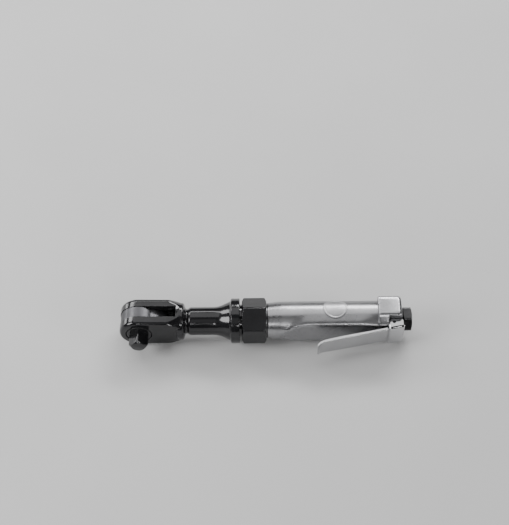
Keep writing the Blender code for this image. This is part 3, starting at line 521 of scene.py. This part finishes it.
def drive_anvil():
    body = revolve("anvil_look", along_y, rounded_profile([
        (-13.6, 0), (-13.6, 11.0, 0.7), (-5.2, 11.0, 0.1), (-5.2, 12.3, 0.2), (10.2, 12.3, 0.3),
        (10.2, 3.5, 0.3), (-5.0, 3.5, 0.1), (-5.0, 0),
    ], 0.2, 4), 96)
    carve(body, "UNION", loft("square", along_y, square_stations()))
    for side in (1, -1):
        z0, z1 = sorted((side * 4.6, side * 13.3))
        pocket = box("pocket", (-8.7, -4.4, z0), (8.7, 4.4, z1))
        pin_bore = [(-7.6, 0), (-7.6, 1.6), (11.2, 1.6), (11.2, 0)]
        hole = revolve("hole", along_y, pin_bore, 24, (0, 0, side * 8.0))
        carve(body, "DIFFERENCE", pocket, hole)
    window = box("window", (-4.6, -1.8, -5.0), (4.6, 1.8, 5.0))
    ball_hole = revolve("ball_hole", along_z, [(2.2, 0), (2.2, 2.0), (12.7, 2.0), (12.7, 0)], 32)
    seat_on_flat(ball_hole)
    carve(body, "DIFFERENCE", window, ball_hole)
    dress(body, "anvil", LOOK["black_plate"], ["drive_anvil"], 0.25, 36)
    socket_ball()


def socket_ball():
    centre, radius, steps = 5.35, 1.65, 20
    profile = []
    for k in range(steps + 1):
        a = math.pi * k / steps
        profile.append((centre - radius * math.cos(a), radius * math.sin(a)))
    ball = revolve("socket_ball_look", along_z, profile, 32)
    seat_on_flat(ball)
    dress(ball, "anvil", LOOK["bright_steel"], ["socket_ball"], 0)


def seat_on_flat(obj):
    """Turns a piece made along +Z onto the normal of the lower rear flat of the square."""
    turn_about_drive(obj, 225.0)
    for v in obj.data.vertices:
        v.co.y += BALL_Y * MM


def knob_rings():
    """Disc with a fluted rim, as sections (y, radius, flute depth)."""
    count, flutes = 144, 36
    sections = [
        (13.9, 8.9, 0.0), (14.0, 9.1, 0.2), (14.4, 9.4, 0.3), (15.9, 9.4, 0.3), (16.4, 9.1, 0.15),
        (16.6, 8.6, 0.0), (16.6, 3.0, 0.0),
    ]
    rings = []
    for y, r, lobe in sections:
        ring = []
        for k in range(count):
            a = TAU * k / count
            radius = r - lobe * (0.5 + 0.5 * math.cos(flutes * a))
            ring.append(along_y(y, radius * math.cos(a), radius * math.sin(a)))
        rings.append(ring)
    return rings


def thumb_bar():
    """Raised bar across the knob, a rounded oblong that narrows to its top."""
    count, power = 48, 6
    half_length, half_width = 7.6, 2.7
    bar = []
    for y, shrink in ((16.0, 0.0), (17.8, 0.15), (18.3, 0.5), (18.6, 1.1)):
        points = []
        for k in range(count):
            a = TAU * k / count
            along = abs(math.cos(a) / (half_length - shrink)) ** power
            across = abs(math.sin(a) / (half_width - shrink)) ** power
            reach = (along + across) ** (-1 / power)
            points.append((reach * math.cos(a), reach * math.sin(a)))
        bar.append((y, points))
    return loft("bar", along_y, bar)


def reverse_knob():
    disc = solid("knob_look", knob_rings())
    hub = revolve("hub", along_y, [
        (-4.6, 0), (-4.6, 3.15), (10.6, 3.15), (10.6, 8.0), (14.2, 8.0), (14.2, 0),
    ], 96)
    carve(disc, "UNION", hub, thumb_bar())
    cross = revolve("cross", along_z, [(-6, 0), (-6, 1.5), (6, 1.5), (6, 0)], 24)
    carve(disc, "DIFFERENCE", cross)
    turn_about_drive(disc, KNOB_TURN_DEG)
    dress(disc, "reverse_knob_set", LOOK["black_plate"], ["reverse_knob"], 0.2, 36)


def head_small_parts():
    bush = revolve("crank_bush_look", along_x, rounded_profile([
        (21.0, 2.4), (21.0, 3.2, 0.5), (29.4, 3.2, 0.5), (29.4, 2.4),
    ], 0.5, 5), 48, (0, 0, CRANK_THROW_Z))
    dress(bush, "bush", LOOK["bright_steel"], ["crank_bush"], 0)
    washer = revolve("thrust_washer_look", along_y, [
        (10.5, 9.5), (10.5, 12.4), (10.9, 12.4), (10.9, 9.5),
    ], 96)
    dress(washer, "tool_body", LOOK["bright_steel"], ["anvil_thrust_washer"], 0.05)
    ring = revolve("snap_ring_look", along_y, [
        (11.55, 10.6), (11.55, 13.45), (12.5, 13.45), (12.5, 10.6),
    ], 96)
    carve(ring, "DIFFERENCE", box("gap", (-2.6, 10.8, 8), (2.6, 13.4, 15)))
    dress(ring, "tool_body", LOOK["dark_steel"], ["anvil_snap_ring"], 0.12)


# Coupling nut -------------------------------------------------------------------------------------

def hex_points(flats, corner_r, count, turn):
    """Hexagon across the flats, its corners turned down to the corner radius."""
    points = []
    for k in range(count):
        a = TAU * k / count
        off = (a - turn + math.pi / 6) % (math.pi / 3) - math.pi / 6
        radius = min(flats / 2 / math.cos(off), corner_r)
        points.append((radius * math.cos(a), radius * math.sin(a)))
    return points


def chamfer_steps(depth, low, high, steps):
    """(depth, radius) pairs down a conical chamfer."""
    return [(depth * k / steps, low + (high - low) * k / steps) for k in range(steps + 1)]


def coupling_nut():
    count, front, rear = 240, 91.9, 113.9
    ends = chamfer_steps(1.7, 17.7, 20.4, 10)
    positions = [(front + d, r) for d, r in ends] + [(rear - d, r) for d, r in reversed(ends)]
    rings = [[along_x(x, c, s) for c, s in hex_points(NUT_FLATS, r, count, 0.0)] for x, r in positions]
    for x, r in ((rear, 15.6), (rear - 0.6, 15.0), (front + 0.6, 15.0), (front, 15.6)):
        rings.append(ring_at(along_x, x, r, count))
    nut = solid("coupling_nut_look", rings, wrap=True)
    dress(nut, "tool_body", LOOK["black_steel"], ["coupling_nut"], 0.3, 28)


# Handle -------------------------------------------------------------------------------------------

def smooth_min(values, power):
    """Smallest of the values, with a rounding that gets tighter as the power grows."""
    return sum(v ** -power for v in values) ** (-1 / power)


def plane_reach(angle, normal, distance):
    """Distance from the axis to a flat along the angle, or None where the flat is out of reach."""
    facing = math.cos(angle - normal)
    grazing = 0.05
    return distance / facing if facing > grazing else None


def round_reach(angle, back_r, lean):
    """Round back that runs on as a flat past the lean angle."""
    off = abs((angle + math.pi) % TAU - math.pi)
    if off <= lean:
        return back_r
    steepest = 1.2
    return back_r / math.cos(min(off - lean, steepest))


def grip_reach(back_r, lean_deg, front, power=14.0, corner=None):
    """Radii of a grip section: round back, flat flanks and front, and a cut off each front corner."""
    radii = []
    for k in range(SECTION):
        a = TAU * k / SECTION
        reach = [round_reach(a, back_r, math.radians(lean_deg)), plane_reach(a, math.pi, front)]
        if corner:
            normal, distance = corner
            reach.extend([plane_reach(a, normal, distance), plane_reach(a, -normal, distance)])
        radii.append(smooth_min([r for r in reach if r is not None], power))
    return radii


def corner_cut(y, z):
    """Flat from the edge of the front face to a point on the flank, as (normal angle, distance)."""
    edge_z = 11.8
    normal = math.atan2(abs(y + GRIP_FRONT), -(z - edge_z))
    return normal, -GRIP_FRONT * math.cos(normal) + edge_z * math.sin(normal)


def block_reach(shrink=0.0, power=30.0):
    """Radii of the rear block's section, from its flats as (normal in degrees, distance)."""
    flats = [
        (90.0, BLOCK_HALF), (-90.0, BLOCK_HALF), (0.0, 12.7), (180.0, 13.6), (140.2, 18.4), (-140.2, 18.4),
        (45.0, 22.6), (-45.0, 22.6),
    ]
    radii = []
    for k in range(SECTION):
        a = TAU * k / SECTION
        reach = [plane_reach(a, math.radians(n), d - shrink) for n, d in flats]
        radii.append(smooth_min([r for r in reach if r is not None], power))
    return radii


def blend_rows(rows, per_gap):
    """Adds in-between sections along X with a smooth (Catmull-Rom) run."""
    out = []
    for i in range(len(rows) - 1):
        x0, a = rows[i]
        x1, b = rows[i + 1]
        before = rows[max(i - 1, 0)]
        after = rows[min(i + 2, len(rows) - 1)]
        for j in range(per_gap):
            t = j / per_gap
            radii = []
            for k in range(SECTION):
                m0 = slope(before, rows[i], rows[i + 1], k) * (x1 - x0)
                m1 = slope(rows[i], rows[i + 1], after, k) * (x1 - x0)
                h = (2 * t ** 3 - 3 * t * t + 1) * a[k] + (t ** 3 - 2 * t * t + t) * m0
                radii.append(h + (-2 * t ** 3 + 3 * t * t) * b[k] + (t ** 3 - t * t) * m1)
            out.append((x0 + (x1 - x0) * t, radii))
    out.append(rows[-1])
    return out


def slope(p, q, r, k):
    """Slope of radius k at section q that never overshoots its neighbours."""
    left = (q[1][k] - p[1][k]) / (q[0] - p[0]) if q[0] > p[0] else 0.0
    right = (r[1][k] - q[1][k]) / (r[0] - q[0]) if r[0] > q[0] else 0.0
    return 0.0 if left * right <= 0 else 2 * left * right / (left + right)


def handle_rows():
    """Sections of the handle as (x, radii): collar, run-in to the grip, grip, corner cuts, rear block."""
    collar = [(x, [r] * SECTION) for x, r in (
        (104.0, 14.2), (104.5, 14.7), (114.2, 14.7), (114.21, 15.1), (114.5, 15.5), (115.1, 15.8),
    )]
    grip = grip_reach(GRIP_R, GRIP_LEAN_DEG, GRIP_FRONT)
    shape = [
        (115.1, [15.8] * SECTION), (121.0, [16.4] * SECTION),
        (127.0, grip_reach(16.8, 170, 16.8, 40)), (133.0, grip_reach(GRIP_R, 138, 15.9, 36)),
        (139.0, grip_reach(GRIP_R, 118, 15.0, 30)), (145.0, grip_reach(GRIP_R, 109, 14.3, 24)),
        (151.0, grip), (178.0, grip), (199.4, grip),
    ]
    shape = blend_rows(shape, 5)[1:]
    tail = [
        (204.0, grip_reach(GRIP_R, GRIP_LEAN_DEG, GRIP_FRONT, 34, corner_cut(-10.9, 14.4))),
        (208.6, grip_reach(GRIP_R, GRIP_LEAN_DEG, GRIP_FRONT, 48, corner_cut(-7.6, 15.3))),
        (212.8, grip_reach(GRIP_R, GRIP_LEAN_DEG, 13.6, 60, corner_cut(-4.8, 16.1))),
        (213.2, block_reach(0.9)), (213.35, block_reach(0.35)), (213.8, block_reach()),
        (230.6, block_reach()), (232.0, block_reach(0.25)), (233.1, block_reach(0.9)),
        (233.7, block_reach(1.6)), (234.0, block_reach(2.4)),
    ]
    return collar + shape + tail


def motor_housing():
    rings = []
    for x, radii in handle_rows():
        rings.append([(x, r * math.cos(TAU * k / SECTION), r * math.sin(TAU * k / SECTION))
                      for k, r in enumerate(radii)])
    body = solid("handle_look", rings)
    bore = revolve("bore", along_x, [
        (103.0, 0), (103.0, 13.3), (168.0, 13.3), (168.0, 4.0), (216.4, 4.0), (216.4, 8.3),
        (233.3, 8.3), (235.0, 10.0), (235.0, 0),
    ], 64)
    tools = [bore]
    for side in (1, -1):
        z0, z1 = sorted((side * 11.0, side * 24.0))
        tools.append(box(f"recess_{z1:.0f}", (221.8, -16.0, z0), (236.0, -7.8, z1)))
    pin_bore = [(-13, 0), (-13, 1.5), (13, 1.5), (13, 0)]
    tools.append(revolve("pin_bore", along_z, pin_bore, 32, (PIN_X, PIN_Y, 0)))
    tools.append(revolve("port", along_y, [(-16, 0), (-16, 3.9), (-1, 3.9), (-1, 0)], 48, (PORT_X, 0, 0)))
    for x in (132.0, 138.0, 144.0):
        tools.append(exhaust_slot(x))
    carve(body, "DIFFERENCE", *tools)
    dress(body, "tool_body", LOOK["satin_aluminium"], ["motor_housing"], 0.35, 38)


def exhaust_slot(x):
    """Cutter with round ends for a slot in the lower side."""
    count, radius, half_run = 24, 1.2, 3.3
    outline = []
    for k in range(count):
        a = TAU * k / count
        y = radius * math.sin(a) + math.copysign(half_run, math.sin(a))
        outline.append((x + radius * math.cos(a), y))
    rings = [[(px, py, z) for px, py in outline] for z in (-20.0, -11.0)]
    return solid(f"slot_{x:.0f}", rings)


def badge_surface(dx, arc, lift):
    """Point on the grip at a run along it, an arc round it and a lift off it."""
    a = math.radians(BADGE_DEG) + arc / GRIP_R
    reach = round_reach(a, GRIP_R, math.radians(GRIP_LEAN_DEG)) + lift
    return (BADGE_X + dx, reach * math.cos(a), reach * math.sin(a))


def name_badge():
    """Blank round badge with a raised rim, bent to the grip."""
    count = 96
    smallest = 0.01
    profile = [
        (0.0, 0.62), (2.0, 0.62), (4.5, 0.62), (7.0, 0.62), (8.9, 0.62), (9.1, 0.6), (9.3, 0.72),
        (9.6, 0.83), (10.2, 0.84), (10.5, 0.76), (10.68, 0.55), (10.68, 0.38), (9.0, 0.36), (6.0, 0.36),
        (3.0, 0.36), (0.0, 0.36),
    ]
    rings = []
    for r, lift in profile:
        reach = max(r, smallest)
        angles = [TAU * k / count for k in range(count)]
        rings.append([badge_surface(reach * math.cos(a), reach * math.sin(a), lift) for a in angles])
    badge = solid("badge_look", rings)
    dress(badge, "tool_body", LOOK["badge_metal"], ["name_badge"], 0)


# Throttle lever -----------------------------------------------------------------------------------

def lerp_rows(rows, per_gap):
    """Rows with smooth steps put between them: a cubic through every value."""
    out = []
    for i in range(len(rows) - 1):
        before = rows[max(i - 1, 0)]
        after = rows[min(i + 2, len(rows) - 1)]
        for j in range(per_gap):
            t = j / per_gap
            row = []
            for p, a, b, q in zip(before, rows[i], rows[i + 1], after):
                m0 = (b - p) / 2
                m1 = (q - a) / 2
                row.append((2 * t ** 3 - 3 * t * t + 1) * a + (t ** 3 - 2 * t * t + t) * m0
                           + (-2 * t ** 3 + 3 * t * t) * b + (t ** 3 - t * t) * m1)
            out.append(tuple(row))
    out.append(tuple(rows[-1]))
    return out


def channel_ring(x, y, half, depth, lean, bend):
    """Pressed-sheet U section with its web outside and outer bends of the given radius."""
    thinnest = 0.15
    r = min(bend, depth - thinnest)
    inner = max(r - SHEET, thinnest)
    has_walls = depth > SHEET + inner
    steps = 7
    arc = [math.pi / 2 * k / steps for k in range(steps + 1)]
    points = [(depth, -half)]
    points += [(r - r * math.sin(a), -half + r - r * math.cos(a)) for a in arc]
    points += [(r - r * math.cos(a), half - r + r * math.sin(a)) for a in arc]
    points += [(depth, half), (depth, half - SHEET)]
    for k, a in enumerate(arc):
        full = SHEET + inner - inner * math.sin(a)
        d = full if has_walls else SHEET + (depth - SHEET) * (1 - k / steps)
        points.append((d, half - SHEET - inner + inner * math.cos(a)))
    for k, a in enumerate(arc):
        full = SHEET + inner - inner * math.cos(a)
        d = full if has_walls else SHEET + (depth - SHEET) * k / steps
        points.append((d, -half + SHEET + inner - inner * math.sin(a)))
    points.append((depth, -half + SHEET))
    s, c = math.sin(lean), math.cos(lean)
    return [(x - d * s, y + d * c, z) for d, z in points]


def throttle_lever():
    arm = [
        (159.75, -32.1, 7.2, 1.85, 0.75, 0.5), (160.9, -30.5, 7.9, 1.9, 0.62, 0.5),
        (163.6, -29.0, 8.6, 2.0, 0.34, 0.5), (168.0, -28.0, 9.0, 2.2, 0.21, 0.5),
        (180.0, -25.5, 9.4, 2.35, 0.2, 0.5), (193.0, -22.8, 9.6, 2.2, 0.2, 0.5),
        (207.0, -19.85, 9.6, 2.1, 0.2, 0.5), (219.6, -17.15, 9.6, 2.1, 0.2, 0.6),
    ]
    step = [(221.0, -16.95, 9.9, 2.15, 0.17, 0.9), (222.4, -18.0, 12.6, 3.6, 0.06, 1.6)]
    saddle = [
        (223.0, -18.35, 13.2, 6.6, 0.0, 2.2), (223.9, -18.28, 13.4, 9.1, 0.0, 2.7),
        (225.2, -18.05, 13.4, 9.8, 0.0, 2.9), (230.5, -16.98, 13.4, 8.7, 0.0, 2.9),
        (233.0, -16.48, 13.4, 8.0, 0.0, 2.8), (234.6, -16.12, 13.25, 7.0, 0.0, 2.5),
        (235.3, -15.9, 13.05, 5.6, 0.0, 2.2), (235.7, -15.7, 12.9, 4.4, 0.0, 2.0),
    ]
    rows = lerp_rows(arm, 5) + lerp_rows(step, 3) + lerp_rows(saddle, 4)
    lever = solid("lever_look", [channel_ring(*row) for row in rows])
    eye = revolve("eye", along_z, [(-15, 0), (-15, 1.5), (15, 1.5), (15, 0)], 32, (PIN_X, PIN_Y, 0))
    carve(lever, "DIFFERENCE", eye)
    dress(lever, "lever", LOOK["chrome"], ["throttle_lever"], 0.2, 40)
    pin = roll_pin()
    dress(pin, "tool_body", LOOK["dark_steel"], ["lever_pin"], 0)


def roll_pin():
    """Spring pin: a slit tube."""
    steps, bore_r = 32, 0.6
    slit_half_deg, turn_deg = 20, 320
    rings = []
    for z, r_out in ((-13.4, 1.0), (-13.1, 1.2), (13.1, 1.2), (13.4, 1.0)):
        arc = []
        for k in range(steps + 1):
            a = math.radians(slit_half_deg + turn_deg * k / steps)
            arc.append((PIN_X + r_out * math.cos(a), PIN_Y + r_out * math.sin(a), z))
        for k in range(steps + 1):
            a = math.radians(slit_half_deg + turn_deg - turn_deg * k / steps)
            arc.append((PIN_X + bore_r * math.cos(a), PIN_Y + bore_r * math.sin(a), z))
        rings.append(arc)
    return solid("lever_pin_look", rings)


# Inlet --------------------------------------------------------------------------------------------

def thread_rings(count):
    """Rings of the internal thread, from the mouth inwards."""
    mouth_x, inner_x, steps = 243.1, 237.0, 56
    crest_r, thread_depth = 5.92, 0.75
    rings = []
    for i in range(steps + 1):
        x = mouth_x - (mouth_x - inner_x) * i / steps
        ring = []
        for k in range(count):
            a = TAU * k / count
            phase = (x / THREAD_PITCH - a / TAU) % 1.0
            r = crest_r + thread_depth * (1 - abs(2 * phase - 1))
            ring.append((x, r * math.cos(a), r * math.sin(a)))
        rings.append(ring)
    return rings


def inlet_bushing():
    count, head_x, end_x, inner_x = 144, 235.7, 243.6, 229.9
    ends = chamfer_steps(0.9, 9.8, 11.6, 6)
    positions = [(head_x + d, r) for d, r in ends] + [(end_x - d, r) for d, r in reversed(ends)]
    rings = [ring_at(along_x, x, r, count) for x, r in ((inner_x, 7.6), (230.3, 8.0), (head_x, 8.0))]
    for x, r in positions:
        rings.append([along_x(x, c, s) for c, s in hex_points(INLET_FLATS, r, count, math.pi / 2)])
    rings.append(ring_at(along_x, end_x, 6.9, count))
    rings += thread_rings(count)
    rings.append(ring_at(along_x, 236.6, 5.9, count))
    rings.append(ring_at(along_x, inner_x, 5.9, count))
    body = solid("inlet_bushing_look", rings, wrap=True)
    dress(body, "tool_body", LOOK["black_plate"], ["inlet_bushing"], 0.15, 40)


def inlet_small_parts():
    cord_r, steps = 0.55, 16
    angles = [TAU * k / steps for k in range(steps)]
    profile = [(234.95 + cord_r * math.cos(a), 8.9 + cord_r * math.sin(a)) for a in angles]
    o_ring = revolve("o_ring_look", along_x, profile, 96)
    dress(o_ring, "tool_body", LOOK["rubber"], ["inlet_o_ring"], 0)
    screen = revolve("screen_look", along_x, rounded_profile([
        (230.4, 0), (230.4, 2.2, 0.4), (234.6, 5.5, 0.4), (236.2, 5.5, 0.1), (236.2, 4.9, 0.1),
        (234.8, 4.9, 0.4), (231.0, 1.7, 0.3), (231.0, 0),
    ], 0.2, 3), 96)
    dress(screen, "tool_body", mesh_wire(), ["inlet_screen"], 0)


def mesh_wire():
    """Woven bronze wire: two crossed bands raised over painted shade, a near-black colour between the
    wires that stands in for the shade seen through the mesh openings.
    """
    look = Look("screen_look_metal")
    heights = []
    for direction in ("Y", "Z"):
        band = look.node("ShaderNodeTexWave", wave_type="BANDS", bands_direction=direction)
        band.inputs["Scale"].default_value = 380.0
        band.inputs["Distortion"].default_value = 0.0
        look.link(look.coords, band.inputs["Vector"])
        heights.append(band.outputs["Fac"])
    weave = look.math("MAXIMUM", heights[0], heights[1])
    tint = look.noise(300.0)
    wire_over_painted_shade = look.span(weave, 0.0, 1.0, 0.35, 0.7)
    bronze = look.ramp(tint, [(0.3, (0.36, 0.24, 0.11)), (0.7, (0.52, 0.36, 0.18))])
    # Painted shade: the near-black colour between the wire bands stands in for the shade seen through the
    # mesh openings.
    tone = look.mix(wire_over_painted_shade, (0.02, 0.015, 0.01), bronze)
    look.link(tone, look.bsdf.inputs["Base Color"])
    look.link(look.span(tint, 0.3, 0.45), look.bsdf.inputs["Roughness"])
    look.bsdf.inputs["Metallic"].default_value = 1.0
    look.bump(0.6, 0.15, weave)
    return look.mat


def throttle_small_parts():
    plunger = revolve("plunger_look", along_y, rounded_profile([
        (-16.4, 0), (-16.4, 2.0, 0.9), (-9.0, 2.0, 0.1), (-9.0, 1.5, 0.1), (-8.0, 1.5, 0.1),
        (-8.0, 2.0, 0.1), (-1.6, 2.0, 0.4), (-1.6, 0),
    ], 0.3, 6), 48, (PORT_X, 0, 0))
    dress(plunger, "plunger", LOOK["bright_steel"], ["valve_plunger"], 0)
    bushing = revolve("plunger_bushing_look", along_y, rounded_profile([
        (-13.8, 2.35), (-13.8, 3.55, 0.3), (-4.9, 3.55, 0.3), (-4.9, 2.35),
    ], 0.3, 4), 64, (PORT_X, 0, 0))
    dress(bushing, "tool_body", LOOK["bronze"], ["plunger_bushing"], 0.12)


def valve_spring():
    """Coil spring of the throttle valve."""
    turns, per_turn, sides = 4, 24, 10
    coil_r, wire_r = 3.4, 0.4
    front, rear = 222.8, 229.2
    rings = []
    for i in range(turns * per_turn + 1):
        a = TAU * i / per_turn
        station = front + (rear - front) * i / (turns * per_turn)
        ring = []
        for k in range(sides):
            b = TAU * k / sides
            r = coil_r + wire_r * math.cos(b)
            ring.append((station + wire_r * math.sin(b), r * math.cos(a), r * math.sin(a)))
        rings.append(ring)
    spring = solid("valve_spring_look", rings)
    for poly in spring.data.polygons:
        poly.use_smooth = True
    spring.data.set_sharp_from_angle(angle=math.radians(50))
    spring.data.materials.append(LOOK["bright_steel"])
    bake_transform(spring)
    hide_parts("valve_spring")


# Carried-over nodes, stage, light and camera ------------------------------------------------------

def paint_kept_nodes():
    slots = {row["node"]: row["material_slot"] for row in frame["record"]["subparts"]}
    for name, obj in frame["nodes"].items():
        if obj.hide_render:
            continue
        obj.data.materials.clear()
        obj.data.materials.append(LOOK[slots[name]])
        for poly in obj.data.polygons:
            poly.use_smooth = True
        obj.data.set_sharp_from_angle(angle=math.radians(34))


def stage():
    half = 4
    corners = [(x, y, FLOOR_Z) for x, y in ((-half, -half), (half, -half), (half, half), (-half, half))]
    mesh = bpy.data.meshes.new("floor")
    mesh.from_pydata(corners, [], [(0, 1, 2, 3)])
    floor = bpy.data.objects.new("floor", mesh)
    bpy.context.scene.collection.objects.link(floor)
    look = Look("floor_look")
    tone = look.ramp(look.noise(3.0), [(0.3, (0.5, 0.5, 0.5)), (0.7, (0.54, 0.54, 0.54))])
    look.link(tone, look.bsdf.inputs["Base Color"])
    look.bsdf.inputs["Roughness"].default_value = 0.9
    mesh.materials.append(look.mat)


def area_light(name, place, target, size, power):
    data = bpy.data.lights.new(name, "AREA")
    data.shape = "RECTANGLE"
    data.size = size[0]
    data.size_y = size[1]
    data.energy = power
    lamp = bpy.data.objects.new(name, data)
    lamp.location = place
    aim = Vector(target) - Vector(place)
    lamp.rotation_euler = aim.to_track_quat("-Z", "Y").to_euler()
    bpy.context.scene.collection.objects.link(lamp)


def light():
    world = bpy.data.worlds.new("studio")
    world.use_nodes = True
    background = world.node_tree.nodes["Background"]
    background.inputs["Color"].default_value = (1, 1, 1, 1)
    background.inputs["Strength"].default_value = 0.05
    bpy.context.scene.world = world
    centre = (0.11, 0.03, 0.0)
    area_light("back_right", (0.54, 1.0, 0.85), centre, (0.92, 0.26), 14.0)
    area_light("back_left", (-0.3, 1.0, 0.85), centre, (0.7, 0.26), 3.2)
    area_light("ceiling", (0.1, 0.5, 1.35), centre, (1.8, 1.0), 8.5)
    area_light("left", (-0.96, -0.25, 0.76), centre, (0.56, 0.6), 12.5)
    area_light("corner", (-0.72, 0.66, 0.66), centre, (0.42, 0.34), 4.5)
    area_light("front_left", (-0.2, -1.15, 0.78), centre, (0.13, 0.26), 1.3)
    area_light("front_right", (0.47, -1.15, 0.78), centre, (0.62, 0.14), 3.8)
    area_light("fill", (0.1, -0.85, 1.36), centre, (1.2, 0.8), 1.1)
    area_light("right", (1.15, -0.4, 0.5), centre, (0.2, 0.3), 3.0)
    area_light("low_left", (-1.0, 0.58, 0.12), centre, (0.4, 0.3), 2.5)


def camera():
    """Camera at the photograph's estimated place, turned by a tilt and a slight roll."""
    data = bpy.data.cameras.new("camera")
    data.lens = 74.9
    cam = bpy.data.objects.new("camera", data)
    cam.location = (0.1037, -0.5012, 0.8299)
    turn = Matrix.Rotation(math.radians(35.5), 3, "X") @ Matrix.Rotation(math.radians(-0.55), 3, "Z")
    cam.rotation_euler = turn.to_euler()
    bpy.context.scene.collection.objects.link(cam)
    bpy.context.scene.camera = cam


ratchet_housing()
ratchet_yoke()
drive_anvil()
reverse_knob()
head_small_parts()
coupling_nut()
motor_housing()
name_badge()
throttle_lever()
inlet_bushing()
inlet_small_parts()
throttle_small_parts()
valve_spring()
paint_kept_nodes()
stage()
light()
camera()
